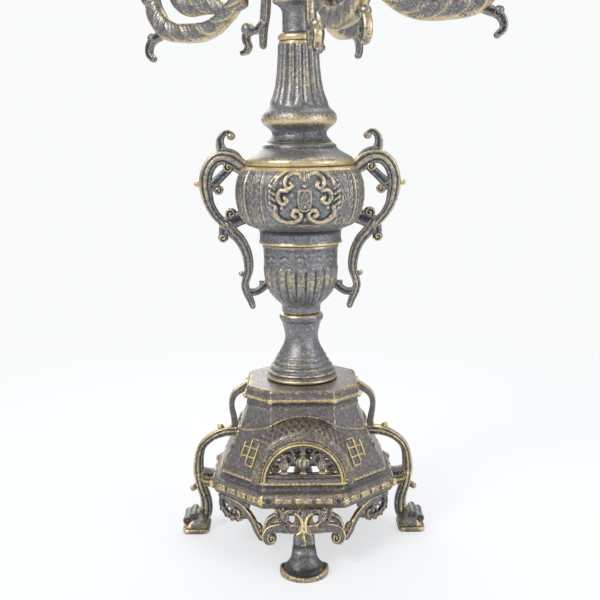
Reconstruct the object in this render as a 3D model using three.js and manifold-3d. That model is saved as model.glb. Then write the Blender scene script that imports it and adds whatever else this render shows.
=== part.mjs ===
// Candelabrum of cast and antiqued brass: four swivelling leaf-scroll arms and a centre light,
// clamped on an urn stem by one tie rod, over a hollow eight-sided base on scroll legs.
// Millimetres, +Z up. The origin lies on the stem axis, in the plane that the feet stand on.
import * as THREE from 'three';
import { mergeVertices } from 'three/addons/utils/BufferGeometryUtils.js';
import Module from 'manifold-3d';

const wasm = await Module();
wasm.setup();

// Clearances and walls
const FIT = 0.3;
const MERGE = 1e-4;
const WALL = 3;
const ROD_R = 4;
const ROD_CLEARANCE = 0.5;
const SCREW_R = 1.6;

// Base
const RIM_Z = 39;
const RIM_APOTHEM = 62.9;
const RIM_CORNER = 28.6;
const PLATFORM_Z = 112;
const PLATFORM_APOTHEM = 42.9;
const PLATFORM_CORNER = 21.7;
const PLATFORM_THICKNESS = 8;
const ARCH_R = 24.9;
const ARCH_Z = 54.4;
const ARCH_SILL_Z = 58.6;
const ARCH_FACE = 55.5;
const HOOD_R = 33;
const RIM_SETBACK = 3.4;

// Stem pieces, each measured from its own seat
const STEM_FOOT_HEIGHT = 46.5;
const STEM_FOOT_R = 24.8;
const CUP_HEIGHT = 48.7;
const CUP_R = 26.1;
const CUP_NECK_R = 12.1;
const GADROONS = 22;
const BELLY_HEIGHT = 53;
const BELLY_R = 44.4;
const COLLAR_R = 28.2;
const LID_HEIGHT = 15;
const LID_R = 37.3;
const COLUMN_HEIGHT = 66.5;
const COLUMN_FOOT_R = 25.7;
const COLUMN_TOP_R = 13.1;
const FLUTES = 16;
const SEAT_HEIGHT = 34.6;
const SEAT_R = 18;

// Arms: eyes stacked on one spindle, measured from the middle of each arm's own eye
const EYE_R = 17;
const EYE_THICKNESS = 3.2;
const EYE_GAP = 0.7;
const SPINDLE_R = 8;
const ARM_REACH = 125;
const ARM_BOSS_R = 7;
const ARM_BOSS_Z = 27;
const ARM_DEPTH = 4;
const NECK_THICKNESS = 2.6;
// Each arm's bearing about the stem, from the top of the stack down
const ARM_AZIMUTHS = { right: -5, rear: 69, left: 145, front: -74 };

// Lights
const CAP_HEIGHT = 10;
const CENTRE_STEM_HEIGHT = 34;
const PAN_R = 27;
const PAN_RISE = 6;
const PAN_THICKNESS = 1.8;
const CANDLE_R = 11;
const SOCKET_HEIGHT = 33;
const SOCKET_FLOOR = 9;
const SOCKET_LIP_R = 15;
const SOCKET_FOOT_R = 7.5;
const SOCKET_SCREW_R = 2;
const SOCKET_SCREW_HEAD_R = 4.2;
const SOCKET_SCREW_HEAD = 2.4;
const SOCKET_SCREW_GRIP = 7;

// Handles
const HANDLE_DEPTH = 3.4;
const HANDLE_UPPER_Z = 20.7;
const HANDLE_LOWER_Z = 21;
const HANDLE_UPPER_INSET = 12.6;
const HANDLE_LOWER_INSET = 9.8;
const HANDLE_SCREW_LENGTH = 13;
const HANDLE_SCREW_HEAD_R = 3;
const HANDLE_SCREW_HEAD = 1.8;

// Legs
const LEG_REACH = 86;
const LEG_DEPTH = 4;
const FOOT_HALF_WIDTH = 13;
const SPADE_R = 15.8;
const SPADE_REACH = 91;
const SPADE_LEAN = 0.45;
const APRON_SETBACK = 2.6;

// Screws from inside the base into the knuckles of the two tall legs
const LEG_SCREW_Z = 72;
const LEG_SCREW_HEAD = 2;
const LEG_SCREW_HEAD_R = 3.2;
const LEG_SCREW_LENGTH = 10;
const LEG_SCREW_X = 42.2;

// Tie rod, with a nut in the centre socket and a nut and washer under the platform
const NUT_R = 7.4;
const NUT_HEIGHT = 6;
const WASHER_R = 14;
const WASHER_THICKNESS = 2;
const ROD_TAIL = 6;
const ROD_TIP = 1;

// Moulded profile of the base, as [height, inset from the rim's or the platform's face]
const BASE_RIM = [[0, RIM_SETBACK], [2, 0.6], [5.5, 0], [8.5, 1.9], [9.5, 5.4], [12, 7.1], [13.2, 5.7],
  [15.2, 5.7], [17, 7.4], [24, 10.3]];
const BASE_CORNICE = [[-40, -4.6], [-32, -0.3], [-30, 0.1], [-21, 4.5], [-14, 4.9], [-11, 2.9], [-9, 0],
  [-6, 0], [-4.5, 1.1], [0, 1.1]];

// The hollow's outline before the wall is taken off it
const BASE_HOLLOW_RIM = [[-1, 4.6], [11, 7.4], [17, 8.2], [24, 10.6]];
const BASE_HOLLOW_TOP = [[-32, -0.1], [-21, 4.8]];

const RIGHT_ANGLE = Math.PI / 2;

// Finishes: one brass, darker where the patina was left thick
const stemBrass = new THREE.MeshStandardMaterial({ color: 0x6f6a62, roughness: 0.5, metalness: 0.85 });
const baseBrass = new THREE.MeshStandardMaterial({ color: 0x6b5c48, roughness: 0.55, metalness: 0.85 });
const rubbedBrass = new THREE.MeshStandardMaterial({ color: 0x9a8046, roughness: 0.42, metalness: 0.9 });
const steel = new THREE.MeshStandardMaterial({ color: 0x8d8f92, roughness: 0.4, metalness: 0.9 });

// A closed geometry as a solid with its faces turned outwards.
function solidOf(geometry) {
  const bare = geometry.index ? geometry.toNonIndexed() : geometry.clone();
  bare.deleteAttribute('normal');
  bare.deleteAttribute('uv');
  const merged = mergeVertices(bare, MERGE);
  const vertProperties = merged.attributes.position.array;
  const triVerts = new Uint32Array(merged.index.array);
  const made = new wasm.Manifold(new wasm.Mesh({ numProp: 3, vertProperties, triVerts }));
  if (made.volume() > 0) return made;
  for (let i = 0; i < triVerts.length; i += 3) {
    [triVerts[i + 1], triVerts[i + 2]] = [triVerts[i + 2], triVerts[i + 1]];
  }
  return new wasm.Manifold(new wasm.Mesh({ numProp: 3, vertProperties, triVerts }));
}

function geometryOf(solid) {
  const mesh = solid.getMesh();
  const geometry = new THREE.BufferGeometry();
  geometry.setAttribute('position', new THREE.BufferAttribute(mesh.vertProperties, 3));
  geometry.setIndex(new THREE.BufferAttribute(mesh.triVerts, 1));
  geometry.computeVertexNormals();
  return geometry;
}

function join(...solids) {
  return solids.flat().reduce((whole, next) => whole.add(next));
}

// A turned solid: the profile [radius, height] runs from axis to axis, or closes on itself.
function turned(profile, segments = 28) {
  const closed = profile[0][0] > 0;
  const outline = closed ? [...profile, profile[0]] : profile;
  const points = outline.map(([r, z]) => new THREE.Vector2(r, z));
  return new THREE.LatheGeometry(points, segments).rotateX(RIGHT_ANGLE);
}

// A turned solid with the tie rod's hole through it.
function bored(geometry) {
  geometry.computeBoundingBox();
  const { min, max } = geometry.boundingBox;
  return solidOf(geometry).subtract(solidOf(cylinder(ROD_R + ROD_CLEARANCE, min.z - 1, max.z + 1, 12)));
}

// Presses lobes into a turned geometry, whose segments are groove and crest by turns.
function lobed(geometry, lobes, from, to, depth) {
  const at = geometry.attributes.position;
  for (let i = 0; i < at.count; i += 1) {
    const angle = Math.atan2(at.getX(i), -at.getY(i));
    const step = Math.round((angle / (2 * Math.PI)) * lobes * 2);
    const inside = at.getZ(i) > from && at.getZ(i) < to;
    if (inside && step % 2 === 0) {
      const shrink = 1 - depth / Math.hypot(at.getX(i), at.getY(i));
      at.setXY(i, at.getX(i) * shrink, at.getY(i) * shrink);
    }
  }
  return geometry;
}

function cylinder(radius, from, to, segments = 16) {
  return turned([[0, from], [radius, from], [radius, to], [0, to]], segments);
}

function ball(x, z, radius, y = 0) {
  return new THREE.SphereGeometry(radius, 6, 3).translate(x, y, z);
}

// A ruled solid through rings of points, each ring closed by a fan round its own middle.
function loft(rings) {
  const count = rings[0].length;
  const middle = (ring) => ring.reduce((sum, p) => sum.add(p), new THREE.Vector3()).divideScalar(count);
  const vertices = [...rings.flat(), middle(rings[0]), middle(rings.at(-1))];
  const index = [];
  const bottom = rings.length * count;
  const top = bottom + 1;
  for (let k = 0; k < count; k += 1) {
    const next = (k + 1) % count;
    for (let row = 0; row + 1 < rings.length; row += 1) {
      const a = row * count;
      const b = a + count;
      index.push(a + k, a + next, b + next, a + k, b + next, b + k);
    }
    const last = (rings.length - 1) * count;
    index.push(bottom, next, k, top, last + k, last + next);
  }
  const geometry = new THREE.BufferGeometry().setFromPoints(vertices);
  geometry.setIndex(index);
  return geometry;
}

// A tapering scroll stroke in the XZ plane: an oval section carried along a smooth curve.
// Points are [x, z]; widths are half-widths in the plane, spread evenly along the points.
function stroke(points, widths, depth, sides = 4) {
  const curve = new THREE.CatmullRomCurve3(
    points.map(([x, z]) => new THREE.Vector3(x, 0, z)), false, 'centripetal');
  const count = points.length - 1;
  const across = new THREE.Vector3(0, 1, 0);
  const rings = [];
  for (let i = 0; i <= count; i += 1) {
    const t = i / count;
    const place = t * (widths.length - 1);
    const low = Math.min(Math.floor(place), widths.length - 2);
    const width = THREE.MathUtils.lerp(widths[low], widths[low + 1], place - low);
    const thick = Math.min(depth, width * 1.6);
    const side = curve.getTangent(t).cross(across);
    const centre = curve.getPoint(t);
    const ring = [];
    for (let k = 0; k < sides; k += 1) {
      const angle = (k / sides) * 2 * Math.PI;
      ring.push(centre.clone()
        .addScaledVector(side, width * Math.cos(angle))
        .addScaledVector(across, thick * Math.sin(angle)));
    }
    rings.push(ring);
  }
  return loft(rings);
}

// Points of an arc or a spiral, from one radius and angle (degrees) to another.
function arc(x, z, fromR, toR, fromAngle, toAngle, count) {
  return Array.from({ length: count }, (_, i) => {
    const t = i / (count - 1);
    const angle = THREE.MathUtils.degToRad(THREE.MathUtils.lerp(fromAngle, toAngle, t));
    const radius = THREE.MathUtils.lerp(fromR, toR, t);
    return [x + radius * Math.cos(angle), z + radius * Math.sin(angle)];
  });
}

const root = new THREE.Group();

function place(name, solid, material, parent = root) {
  const mesh = new THREE.Mesh(geometryOf(solid), material);
  mesh.name = name;
  parent.add(mesh);
  return mesh;
}

function groupAt(z, azimuth = 0) {
  const group = new THREE.Group();
  group.position.z = z;
  group.rotation.z = THREE.MathUtils.degToRad(azimuth);
  root.add(group);
  return group;
}

// Base: a square with cut corners at every height, wider corners towards the rim.
function octagon(apothem, z) {
  const share = (apothem - PLATFORM_APOTHEM) / (RIM_APOTHEM - PLATFORM_APOTHEM);
  const half = THREE.MathUtils.lerp(PLATFORM_CORNER, RIM_CORNER, share);
  const corners = [[half, -apothem], [apothem, -half], [apothem, half], [half, apothem]];
  return [...corners, ...corners.map(([x, y]) => [-x, -y])]
    .map(([x, y]) => new THREE.Vector3(x, y, z));
}

function baseRings(grow) {
  const rim = BASE_RIM.map(([z, inset]) => octagon(RIM_APOTHEM - inset + grow, RIM_Z + z));
  const cornice = BASE_CORNICE.map(([z, inset]) => octagon(PLATFORM_APOTHEM - inset + grow, PLATFORM_Z + z));
  return [...rim, ...cornice];
}

// The dormer over an arch: round-headed in front, wider where its hood dies into the body.
function dormer(grow, y) {
  const ring = (radius, depth) => {
    const head = arc(0, ARCH_Z, radius, radius, 0, 180, 13);
    return head.map(([x, z]) => new THREE.Vector3(x, depth, z));
  };
  return loft([ring(HOOD_R + grow, -ARCH_FACE - y), ring(HOOD_R + 7 + grow, -ARCH_FACE + 19)]);
}

function archOpening(radius, fromY, toY, sill) {
  const half = Math.acos((sill - ARCH_Z) / radius) * THREE.MathUtils.RAD2DEG;
  const outline = arc(0, ARCH_Z, radius, radius, 90 - half, 90 + half, 13);
  return loft([fromY, toY].map((y) => outline.map(([x, z]) => new THREE.Vector3(x, y, z))));
}

function bothEnds(geometry) {
  return [solidOf(geometry), solidOf(geometry.clone().rotateZ(Math.PI))];
}

// The base's outside with nothing hollow, grown by a clearance: what sits on the base is cut by it.
function baseEnvelope(grow) {
  return join(solidOf(loft(baseRings(grow))), bothEnds(dormer(grow, grow)));
}

function makeBase() {
  const outside = baseEnvelope(0);
  const inside = [...BASE_HOLLOW_RIM.map(([z, inset]) => [RIM_APOTHEM - inset, RIM_Z + z]),
    ...BASE_HOLLOW_TOP.map(([z, inset]) => [PLATFORM_APOTHEM - inset, PLATFORM_Z + z]),
    [PLATFORM_APOTHEM - BASE_HOLLOW_TOP.at(-1)[1], PLATFORM_Z - PLATFORM_THICKNESS]];
  const hollow = solidOf(loft(inside.map(([apothem, z]) => octagon(apothem - WALL, z))));
  const band = join(bothEnds(archOpening(ARCH_R + 3.4, -ARCH_FACE - 1.2, -ARCH_FACE + 1, ARCH_SILL_Z - 3)));
  const opening = join(bothEnds(archOpening(ARCH_R, -ARCH_FACE - 5, -ARCH_FACE + 25, ARCH_SILL_Z)));
  const rodHole = solidOf(cylinder(ROD_R + ROD_CLEARANCE, RIM_Z, PLATFORM_Z + 1));
  return join(outside, band)
    .subtract(hollow)
    .subtract(join(bothEnds(dormer(-WALL, -WALL))))
    .subtract(opening)
    .subtract(rodHole)
    .subtract(join(legScrewHoles(SCREW_R + FIT)));
}

// Grille in the arch: a thin arched frame with three balusters on a sill bar.
function makeGrille() {
  const frameR = ARCH_R - FIT;
  const sill = ARCH_SILL_Z + FIT;
  const frame = solidOf(archOpening(frameR, -ARCH_FACE + 0.5, -ARCH_FACE + 3, sill))
    .subtract(solidOf(archOpening(frameR - 1.6, -ARCH_FACE - 1, -ARCH_FACE + 5, sill + 1.6)));
  const baluster = (x, bulge, top) => {
    const middle = sill + 0.42 * (top - sill);
    const profile = [[0, sill + 0.4], [2.6, sill + 0.4], [2.2, sill + 3], [bulge, middle - 1],
      [bulge * 0.95, middle + 2], [1.9, middle + 5.5], [2.6, top], [0, top]];
    return solidOf(turned(profile, 7).translate(x, -ARCH_FACE + 1.75, 0));
  };
  const height = (x) => ARCH_Z + Math.sqrt((frameR - 0.8) ** 2 - (x + 2.6) ** 2);
  return join(frame, baluster(0, 5.3, height(0)), baluster(12.7, 3.5, height(12.7)),
    baluster(-12.7, 3.5, height(12.7)));
}

function legScrewHoles(radius) {
  const hole = cylinder(radius, 0, LEG_SCREW_LENGTH + 2 * FIT, 8).rotateY(RIGHT_ANGLE);
  const right = hole.translate(LEG_SCREW_X, 0, LEG_SCREW_Z);
  return bothEnds(right);
}

function makeScrew(headR, headHeight, length) {
  const profile = [[0, -headHeight], [headR * 0.8, -headHeight], [headR, 0], [SCREW_R, 0], [SCREW_R, length],
    [0, length]];
  return turned(profile, 7);
}

// Tall leg at the right-hand side: two loops against the body and an S down to a block foot.
function makeTallLeg() {
  const upper = stroke([[41, 107], [46, 103.5], [49.8, 96], [49.3, 86], [45.6, 78], [48, 71]],
    [2.2, 2, 2, 2.4, 3], LEG_DEPTH);
  const big = stroke([[44, 73], [51, 71.5], [60, 68], [68.5, 62], [74.8, 53], [76.2, 43], [71.5, 35],
    [63, 34]],
    [2.6, 2.6, 3, 3.4, 3, 3.4, 3.4], LEG_DEPTH);
  const web = stroke([[60, 43], [66, 39], [72, 35]], [2.4, 3, 3], LEG_DEPTH);
  const lower = stroke([[74, 38], [71, 30], [67, 21], [68, 12], [73, 6]], [3, 3.6, 3.4, 4, 5], LEG_DEPTH + 1);
  const plate = (x0, x1, z, y) => [[x0, -y], [x1, -y], [x1, y], [x0, y]]
    .map(([x, across]) => new THREE.Vector3(x, across, z));
  const block = loft([plate(64.5, 72, 14, 4.5), plate(63.5, LEG_REACH - 2, 3.2, FOOT_HALF_WIDTH - 1)]);
  const sole = new THREE.BoxGeometry(LEG_REACH - 62, 2 * FOOT_HALF_WIDTH, 3.4)
    .translate((LEG_REACH + 62) / 2, 0, 1.7);
  const roll = new THREE.CylinderGeometry(3.4, 3.4, 1.5 * FOOT_HALF_WIDTH, 10).translate(79.5, 0, 9.5);
  const scroll = ball(0, 0, 2.3);
  return join([upper, big, web, lower, block, sole, roll,
    scroll.clone().translate(57.3, 0, 74.6), scroll.clone().translate(77.8, 0, 30.6)].map(solidOf),
  solidOf(stroke([[56, 70], [57.3, 74.6]], [2.6, 1.6], 2.4)),
  solidOf(stroke([[73.5, 33], [77.8, 30.6]], [2.4, 1.6], 2.4)))
    .subtract(baseEnvelope(FIT))
    .subtract(join(legScrewHoles(SCREW_R + FIT)));
}

// Short leg in front: pierced scrolls under the rim, a shaft that leans out, and a spade foot.
function makeShortLeg() {
  const top = RIM_Z - FIT;
  const lean = (geometry) => {
    const at = geometry.attributes.position;
    for (let i = 0; i < at.count; i += 1) {
      const drop = top - at.getZ(i);
      at.setY(i, at.getY(i) - (RIM_APOTHEM - RIM_SETBACK) - SPADE_LEAN * drop);
    }
    return geometry;
  };
  const mirrored = (points) => points.map(([x, z]) => [-x, z]);
  const pair = (points, widths, depth) => [
    solidOf(lean(stroke(points, widths, depth))),
    solidOf(lean(stroke(mirrored(points), widths, depth)))];
  const eye = pair(arc(8.2, 32, 5.4, 5.4, 100, 400, 6), [1.6, 1.8, 1.6], 2.6);
  const bracket = pair([[14, top - 1], [9, 27.5], [5, 20]], [2.2, 3, 3], 3);
  const volute = pair([[6, 24], [12, 27.6], [20, 28], [25.6, 24], [24.6, 18.6], [20.5, 18.4], [19.6, 21.6]],
    [2.4, 2.6, 2.6, 2.2, 1.6], 3);
  const wing = pair([[12, 36], [19, 33], [26, 29], [27.5, 25]], [2.2, 2, 1.8], 2.6);
  const ridge = solidOf(lean(stroke([[0, top], [0, 24], [0, 12]], [3.2, 4, 6], 3.6)));
  const lug = solidOf(new THREE.BoxGeometry(26, 4.2, 4)
    .translate(0, RIM_SETBACK - RIM_APOTHEM + FIT, top - 2));
  const foot = (scale, z, back) => arc(0, 0, SPADE_R * scale, SPADE_R * scale, 180, 360, 8)
    .map(([x, y]) => new THREE.Vector3(x, y - SPADE_REACH + SPADE_R, z))
    .concat([new THREE.Vector3(SPADE_R * scale * 0.7, back - SPADE_REACH + SPADE_R, z),
      new THREE.Vector3(-SPADE_R * scale * 0.7, back - SPADE_REACH + SPADE_R, z)]);
  const spade = loft([foot(1, 0, 7), foot(1, 2.6, 7), foot(0.9, 7.5, 6.5), foot(0.55, 12, 7),
    foot(0.36, 17, 9)]);
  return join(eye, bracket, volute, wing, ridge, lug, solidOf(spade));
}

// Pierced apron under one diagonal face, drawn in the face's own plane.
function makeApron() {
  const top = RIM_Z - FIT;
  const rail = stroke([[-22, top - 1.6], [-8, top - 1.6], [7, top - 1.6]], [1.5, 1.5], 1.8);
  const loop = stroke([[-19.5, top - 1.7], [-20.5, 29], [-17, 22.5], [-9.6, 19.8], [-2, 21.5], [-1.5, 25.5],
    [-5, 26.6]], [1.6, 1.8, 2, 1.8, 1.3], 2.2);
  const strand = stroke([[-14, top - 2], [-3, 34.5], [5, 31.5], [12, 26], [16, 20], [20.2, 16]],
    [1.8, 2, 2, 1.8, 1.7], 2.2);
  const tie = stroke([[-2, 22], [4, 25], [9, 28]], [1.4, 1.6], 1.8);
  return join([rail, loop, strand, tie].map(solidOf));
}

// Ringed cone between the platform and the urn.
function makeStemFoot() {
  const r = STEM_FOOT_R;
  const h = STEM_FOOT_HEIGHT;
  return bored(turned([[0, 0], [r, 0], [r, 2.6], [r - 1.5, 3.4], [r - 1.7, 5.4], [r - 3.1, 6],
    [r - 3.5, 8.6], [r - 4.8, 9.2], [r - 6, 12], [r - 7.2, 12.5], [r - 8.6, 16], [r - 11.5, 22],
    [r - 13.3, h - 17], [r - 10.9, h - 5.2], [r - 9.6, h - 4.4], [r - 9.6, h], [0, h]], 18));
}

// Gadrooned cup of the urn: a hollow that the belly closes.
function makeCup() {
  const h = CUP_HEIGHT;
  const r = CUP_R;
  const neck = CUP_NECK_R;
  const outside = lobed(turned([[0, 0], [neck, 0], [neck, 5.8], [r - 11, 8], [r - 4.9, 14], [r - 1.4, 22.2],
    [r - 0.6, 30.5], [r - 0.4, 32.5], [r + 0.5, h - 2.4], [r - 0.4, h], [0, h]], GADROONS * 2),
  GADROONS, 6.5, 31, 1.3);
  const hollow = turned([[0, 16], [r - 9, 18], [r - WALL - 2, 27], [r - WALL - 1, h + 1], [0, h + 1]], 14);
  return bored(outside).subtract(solidOf(hollow)).subtract(join(handleScrewHoles.lower()));
}

function bellyProfile(grow) {
  const r = BELLY_R + grow;
  const h = BELLY_HEIGHT;
  return [[COLLAR_R + grow, 0], [COLLAR_R + grow, 9.5], [r - 8.4, 13.2], [r - 3.1, 19.7], [r, 32.7],
    [r - 0.7, 42.7], [r - 6.4, h - 0.8], [r - 7.4, h]];
}

function makeBelly() {
  const h = BELLY_HEIGHT;
  const outside = turned([[0, 0], ...bellyProfile(0), [0, h]], 24);
  const hollow = turned([[0, 4], [COLLAR_R - WALL, 4], [COLLAR_R - WALL, 11], [BELLY_R - WALL, 26],
    [BELLY_R - WALL, 41], [BELLY_R - 10, h - 4], [0, h - 4]], 14);
  const mouth = cylinder(BELLY_R - 16, h - 5, h + 1, 14);
  return bored(outside)
    .subtract(solidOf(hollow))
    .subtract(solidOf(mouth))
    .subtract(join(handleScrewHoles.upper()));
}

function makeLid() {
  const h = LID_HEIGHT;
  const r = LID_R;
  return bored(turned([[0, 0], [r - 0.6, 0], [r, 1], [r, 3.4], [r - 0.9, 4.4], [r - 5.5, 6.2], [r - 11, 8.6],
    [r - 15, 11.6], [r - 17.2, h - 1.6], [r - 17.6, h], [0, h]], 24))
    .subtract(solidOf(turned([[0, -1], [BELLY_R - 17, -1], [BELLY_R - 17, 3], [r - 19, h - WALL - 1],
      [0, h - WALL - 1]], 14)));
}

function makeColumn() {
  const h = COLUMN_HEIGHT;
  const r = COLUMN_FOOT_R;
  const top = COLUMN_TOP_R;
  return bored(lobed(turned([[0, 0], [r - 6.8, 0], [r - 7.5, 4.7], [r - 1, 11.6],
    [r, 15.4], [r - 1.4, 20], [r - 4.6, 22.4], [top + 6, 27], [top + 2.8, 36],
    [top + 0.3, h - 6], [top, h], [0, h]], FLUTES * 2), FLUTES, 22.5, h - 4, 1.2));
}

// Bead, neck and flare that carry the stack of eyes.
function makeArmSeat() {
  const h = SEAT_HEIGHT;
  const r = SEAT_R;
  return bored(turned([[0, 0], [12.6, 0], [13.7, 1], [13.7, 3.4], [12.6, 4.6], [10.6, 5.4], [10.6, h - 15],
    [r - 4.6, h - 11.5], [r - 1, h - 9.5], [r - 1, h - 6.5], [r - 1.6, h - 5], [r, h - 2], [r, h],
    [0, h]], 20));
}

const eyePitch = EYE_THICKNESS + EYE_GAP;
const armNames = Object.keys(ARM_AZIMUTHS);
const stackHeight = armNames.length * eyePitch + FIT;

// One leaf-scroll arm, its eye round the stem at x = 0 and its light at x = ARM_REACH.
function makeArm() {
  const r = ARM_REACH;
  const eye = turned([[SPINDLE_R + FIT, -EYE_THICKNESS / 2], [EYE_R, -EYE_THICKNESS / 2],
    [EYE_R, EYE_THICKNESS / 2], [SPINDLE_R + FIT, EYE_THICKNESS / 2]], 16);
  const neck = new THREE.BoxGeometry(8, 2 * ARM_DEPTH, NECK_THICKNESS)
    .translate(EYE_R + 2, 0, (EYE_THICKNESS - NECK_THICKNESS) / 2);
  const main = stroke([[EYE_R + 2.5, 0.4], [30, 3], [40, -2], [49, -9.5], [60, -18], [9.5 + r / 2, -26],
    [r - 37, -30], [r - 20, -27], [r - 5, -19], [r + 5, -6], [r + 6, 8], [r + 1.5, 18],
    [r, ARM_BOSS_Z - 2]],
  [1.8, 3.2, 4.4, 5.4, 7.2, 7.4, 7, 6.6, 5.6, 4.6, 4.8], ARM_DEPTH + 2, 6);
  const innerScroll = stroke([[64, -17], [r - 47, -13], [r - 31, -13], [r - 18, -5], [r - 14, 7],
    [r - 21, 16], [r - 30, 13], [r - 29, 6]], [3.4, 3.2, 3, 2.8, 2.4, 2], ARM_DEPTH - 0.6);
  const hook = stroke([[r - 10, -22], [r + 1, -27], [r + 9, -29], [r + 12, -36],
    [r + 10, -43], [r + 5.5, -46]], [3.6, 3.2, 2.8, 2.4, 1.9], ARM_DEPTH - 1);
  const innerHook = stroke([[40, -3], [41, -14], [45.5, -24], [50.5, -33], [52.5, -42], [49.5, -48.5]],
    [3.6, 3.8, 4, 3, 2.2, 1.8], ARM_DEPTH - 1);
  const rootScroll = stroke([[28.2, 2], [26.4, -9], [27.2, -22], [31.5, -33], [31, -43.5]],
    [3, 3.4, 3.6, 2.8, 1.8], ARM_DEPTH - 1);
  const link = stroke([[27.2, -22], [36, -19], [45.5, -24]], [2, 1.6, 2], 2.4);
  const leafTip = stroke([[r + 5, -8], [r + 12.5, -4], [r + 15, 4], [r + 11.5, 9]],
    [3.6, 2.8, 2, 1.5], ARM_DEPTH - 1);
  const crest = stroke([[52, -8], [60, 2], [70, 6], [78, 1], [75, -6], [69, -5]],
    [3.4, 3.2, 2.8, 2.4, 1.8], ARM_DEPTH - 1);
  const boss = cylinder(ARM_BOSS_R, ARM_BOSS_Z - 6, ARM_BOSS_Z, 10).translate(ARM_REACH, 0, 0);
  const balls = [ball(r + 8, -25, 3.2), ball(47, -26, 4.4)];
  const screwHole = cylinder(SOCKET_SCREW_R + FIT, ARM_BOSS_Z - 9, ARM_BOSS_Z + 1, 10)
    .translate(ARM_REACH, 0, 0);
  return join([eye, neck, main, innerScroll, hook, innerHook, rootScroll, link, leafTip, crest, boss,
    ...balls].map(solidOf))
    .subtract(solidOf(screwHole))
    .subtract(solidOf(cylinder(SPINDLE_R + FIT, -EYE_THICKNESS, EYE_THICKNESS, 16)));
}

function makePan(bore) {
  const t = PAN_THICKNESS;
  const r = PAN_R;
  return solidOf(turned([[bore, 0], [r - 12, 0.4], [r - 3, PAN_RISE - 2.6], [r, PAN_RISE],
    [r - 1, PAN_RISE + 1], [r - 12, 0.6 + t], [bore, t]], 15));
}

function makeSocket(bore) {
  const h = SOCKET_HEIGHT;
  const lip = SOCKET_LIP_R;
  const foot = SOCKET_FOOT_R;
  const wall = CANDLE_R + 2;
  return solidOf(turned([[bore, 0], [foot, 0], [foot + 0.8, 1.8], [foot - 2, 4.4], [wall + 0.6, 13],
    [wall - 0.8, h - 7], [lip, h - 2], [lip, h], [CANDLE_R, h], [CANDLE_R, SOCKET_FLOOR],
    [bore, SOCKET_FLOOR]], 12));
}

function makeSocketScrew() {
  const length = SOCKET_FLOOR + PAN_THICKNESS + SOCKET_SCREW_GRIP;
  const head = SOCKET_SCREW_HEAD;
  return solidOf(turned([[0, head], [SOCKET_SCREW_HEAD_R * 0.7, head], [SOCKET_SCREW_HEAD_R, head / 2],
    [SOCKET_SCREW_HEAD_R, 0], [SOCKET_SCREW_R, 0], [SOCKET_SCREW_R, -length], [0, -length]], 7));
}

function makeCap() {
  const h = CAP_HEIGHT;
  return bored(turned([[0, 0], [SEAT_R, 0], [SEAT_R + 0.6, 1.4], [SEAT_R - 1, 3.4], [13, 5.6], [10, 8],
    [9.4, h], [0, h]], 20));
}

function makeCentreStem() {
  const h = CENTRE_STEM_HEIGHT;
  return bored(turned([[0, 0], [8.6, 0], [9.4, 1.6], [7, 4], [6.4, 8], [8.4, 13], [11.4, 19], [10.6, 24],
    [7, 28], [7.4, h - 3], [9, h - 1.6], [9, h], [0, h]], 16));
}

// Handle at the right-hand side, drawn from the urn's axis.
const BELLY_SEAT_Z = PLATFORM_Z + STEM_FOOT_HEIGHT + CUP_HEIGHT + 3 * FIT;
const CUP_SEAT_Z = PLATFORM_Z + STEM_FOOT_HEIGHT + 2 * FIT;

function urnEnvelope(grow) {
  const belly = turned([[0, -grow], ...bellyProfile(grow), [0, BELLY_HEIGHT + grow]], 32)
    .translate(0, 0, BELLY_SEAT_Z);
  const cup = turned([[0, 5], [CUP_R - 11 + grow, 8], [CUP_R - 4.9 + grow, 14], [CUP_R - 1.4 + grow, 22.2],
    [CUP_R + 0.5 + grow, 30], [CUP_R + 0.5 + grow, CUP_HEIGHT], [0, CUP_HEIGHT]], 32)
    .translate(0, 0, CUP_SEAT_Z);
  const lid = cylinder(LID_R + grow, 0, 5, 32).translate(0, 0, BELLY_SEAT_Z + BELLY_HEIGHT + FIT);
  return join([belly, cup, lid].map(solidOf));
}

const handleUpperX = BELLY_R - HANDLE_UPPER_INSET;
const handleLowerX = CUP_R - HANDLE_LOWER_INSET;

function radialPair(geometry, x, z) {
  return bothEnds(geometry.rotateY(RIGHT_ANGLE).translate(x, 0, z));
}

const handleScrewHole = (x, z) => radialPair(cylinder(SCREW_R + FIT, 0, HANDLE_SCREW_LENGTH + 2, 8), x, z);
const handleScrewHoles = {
  upper: () => handleScrewHole(handleUpperX, HANDLE_UPPER_Z),
  lower: () => handleScrewHole(handleLowerX, HANDLE_LOWER_Z),
};

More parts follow.
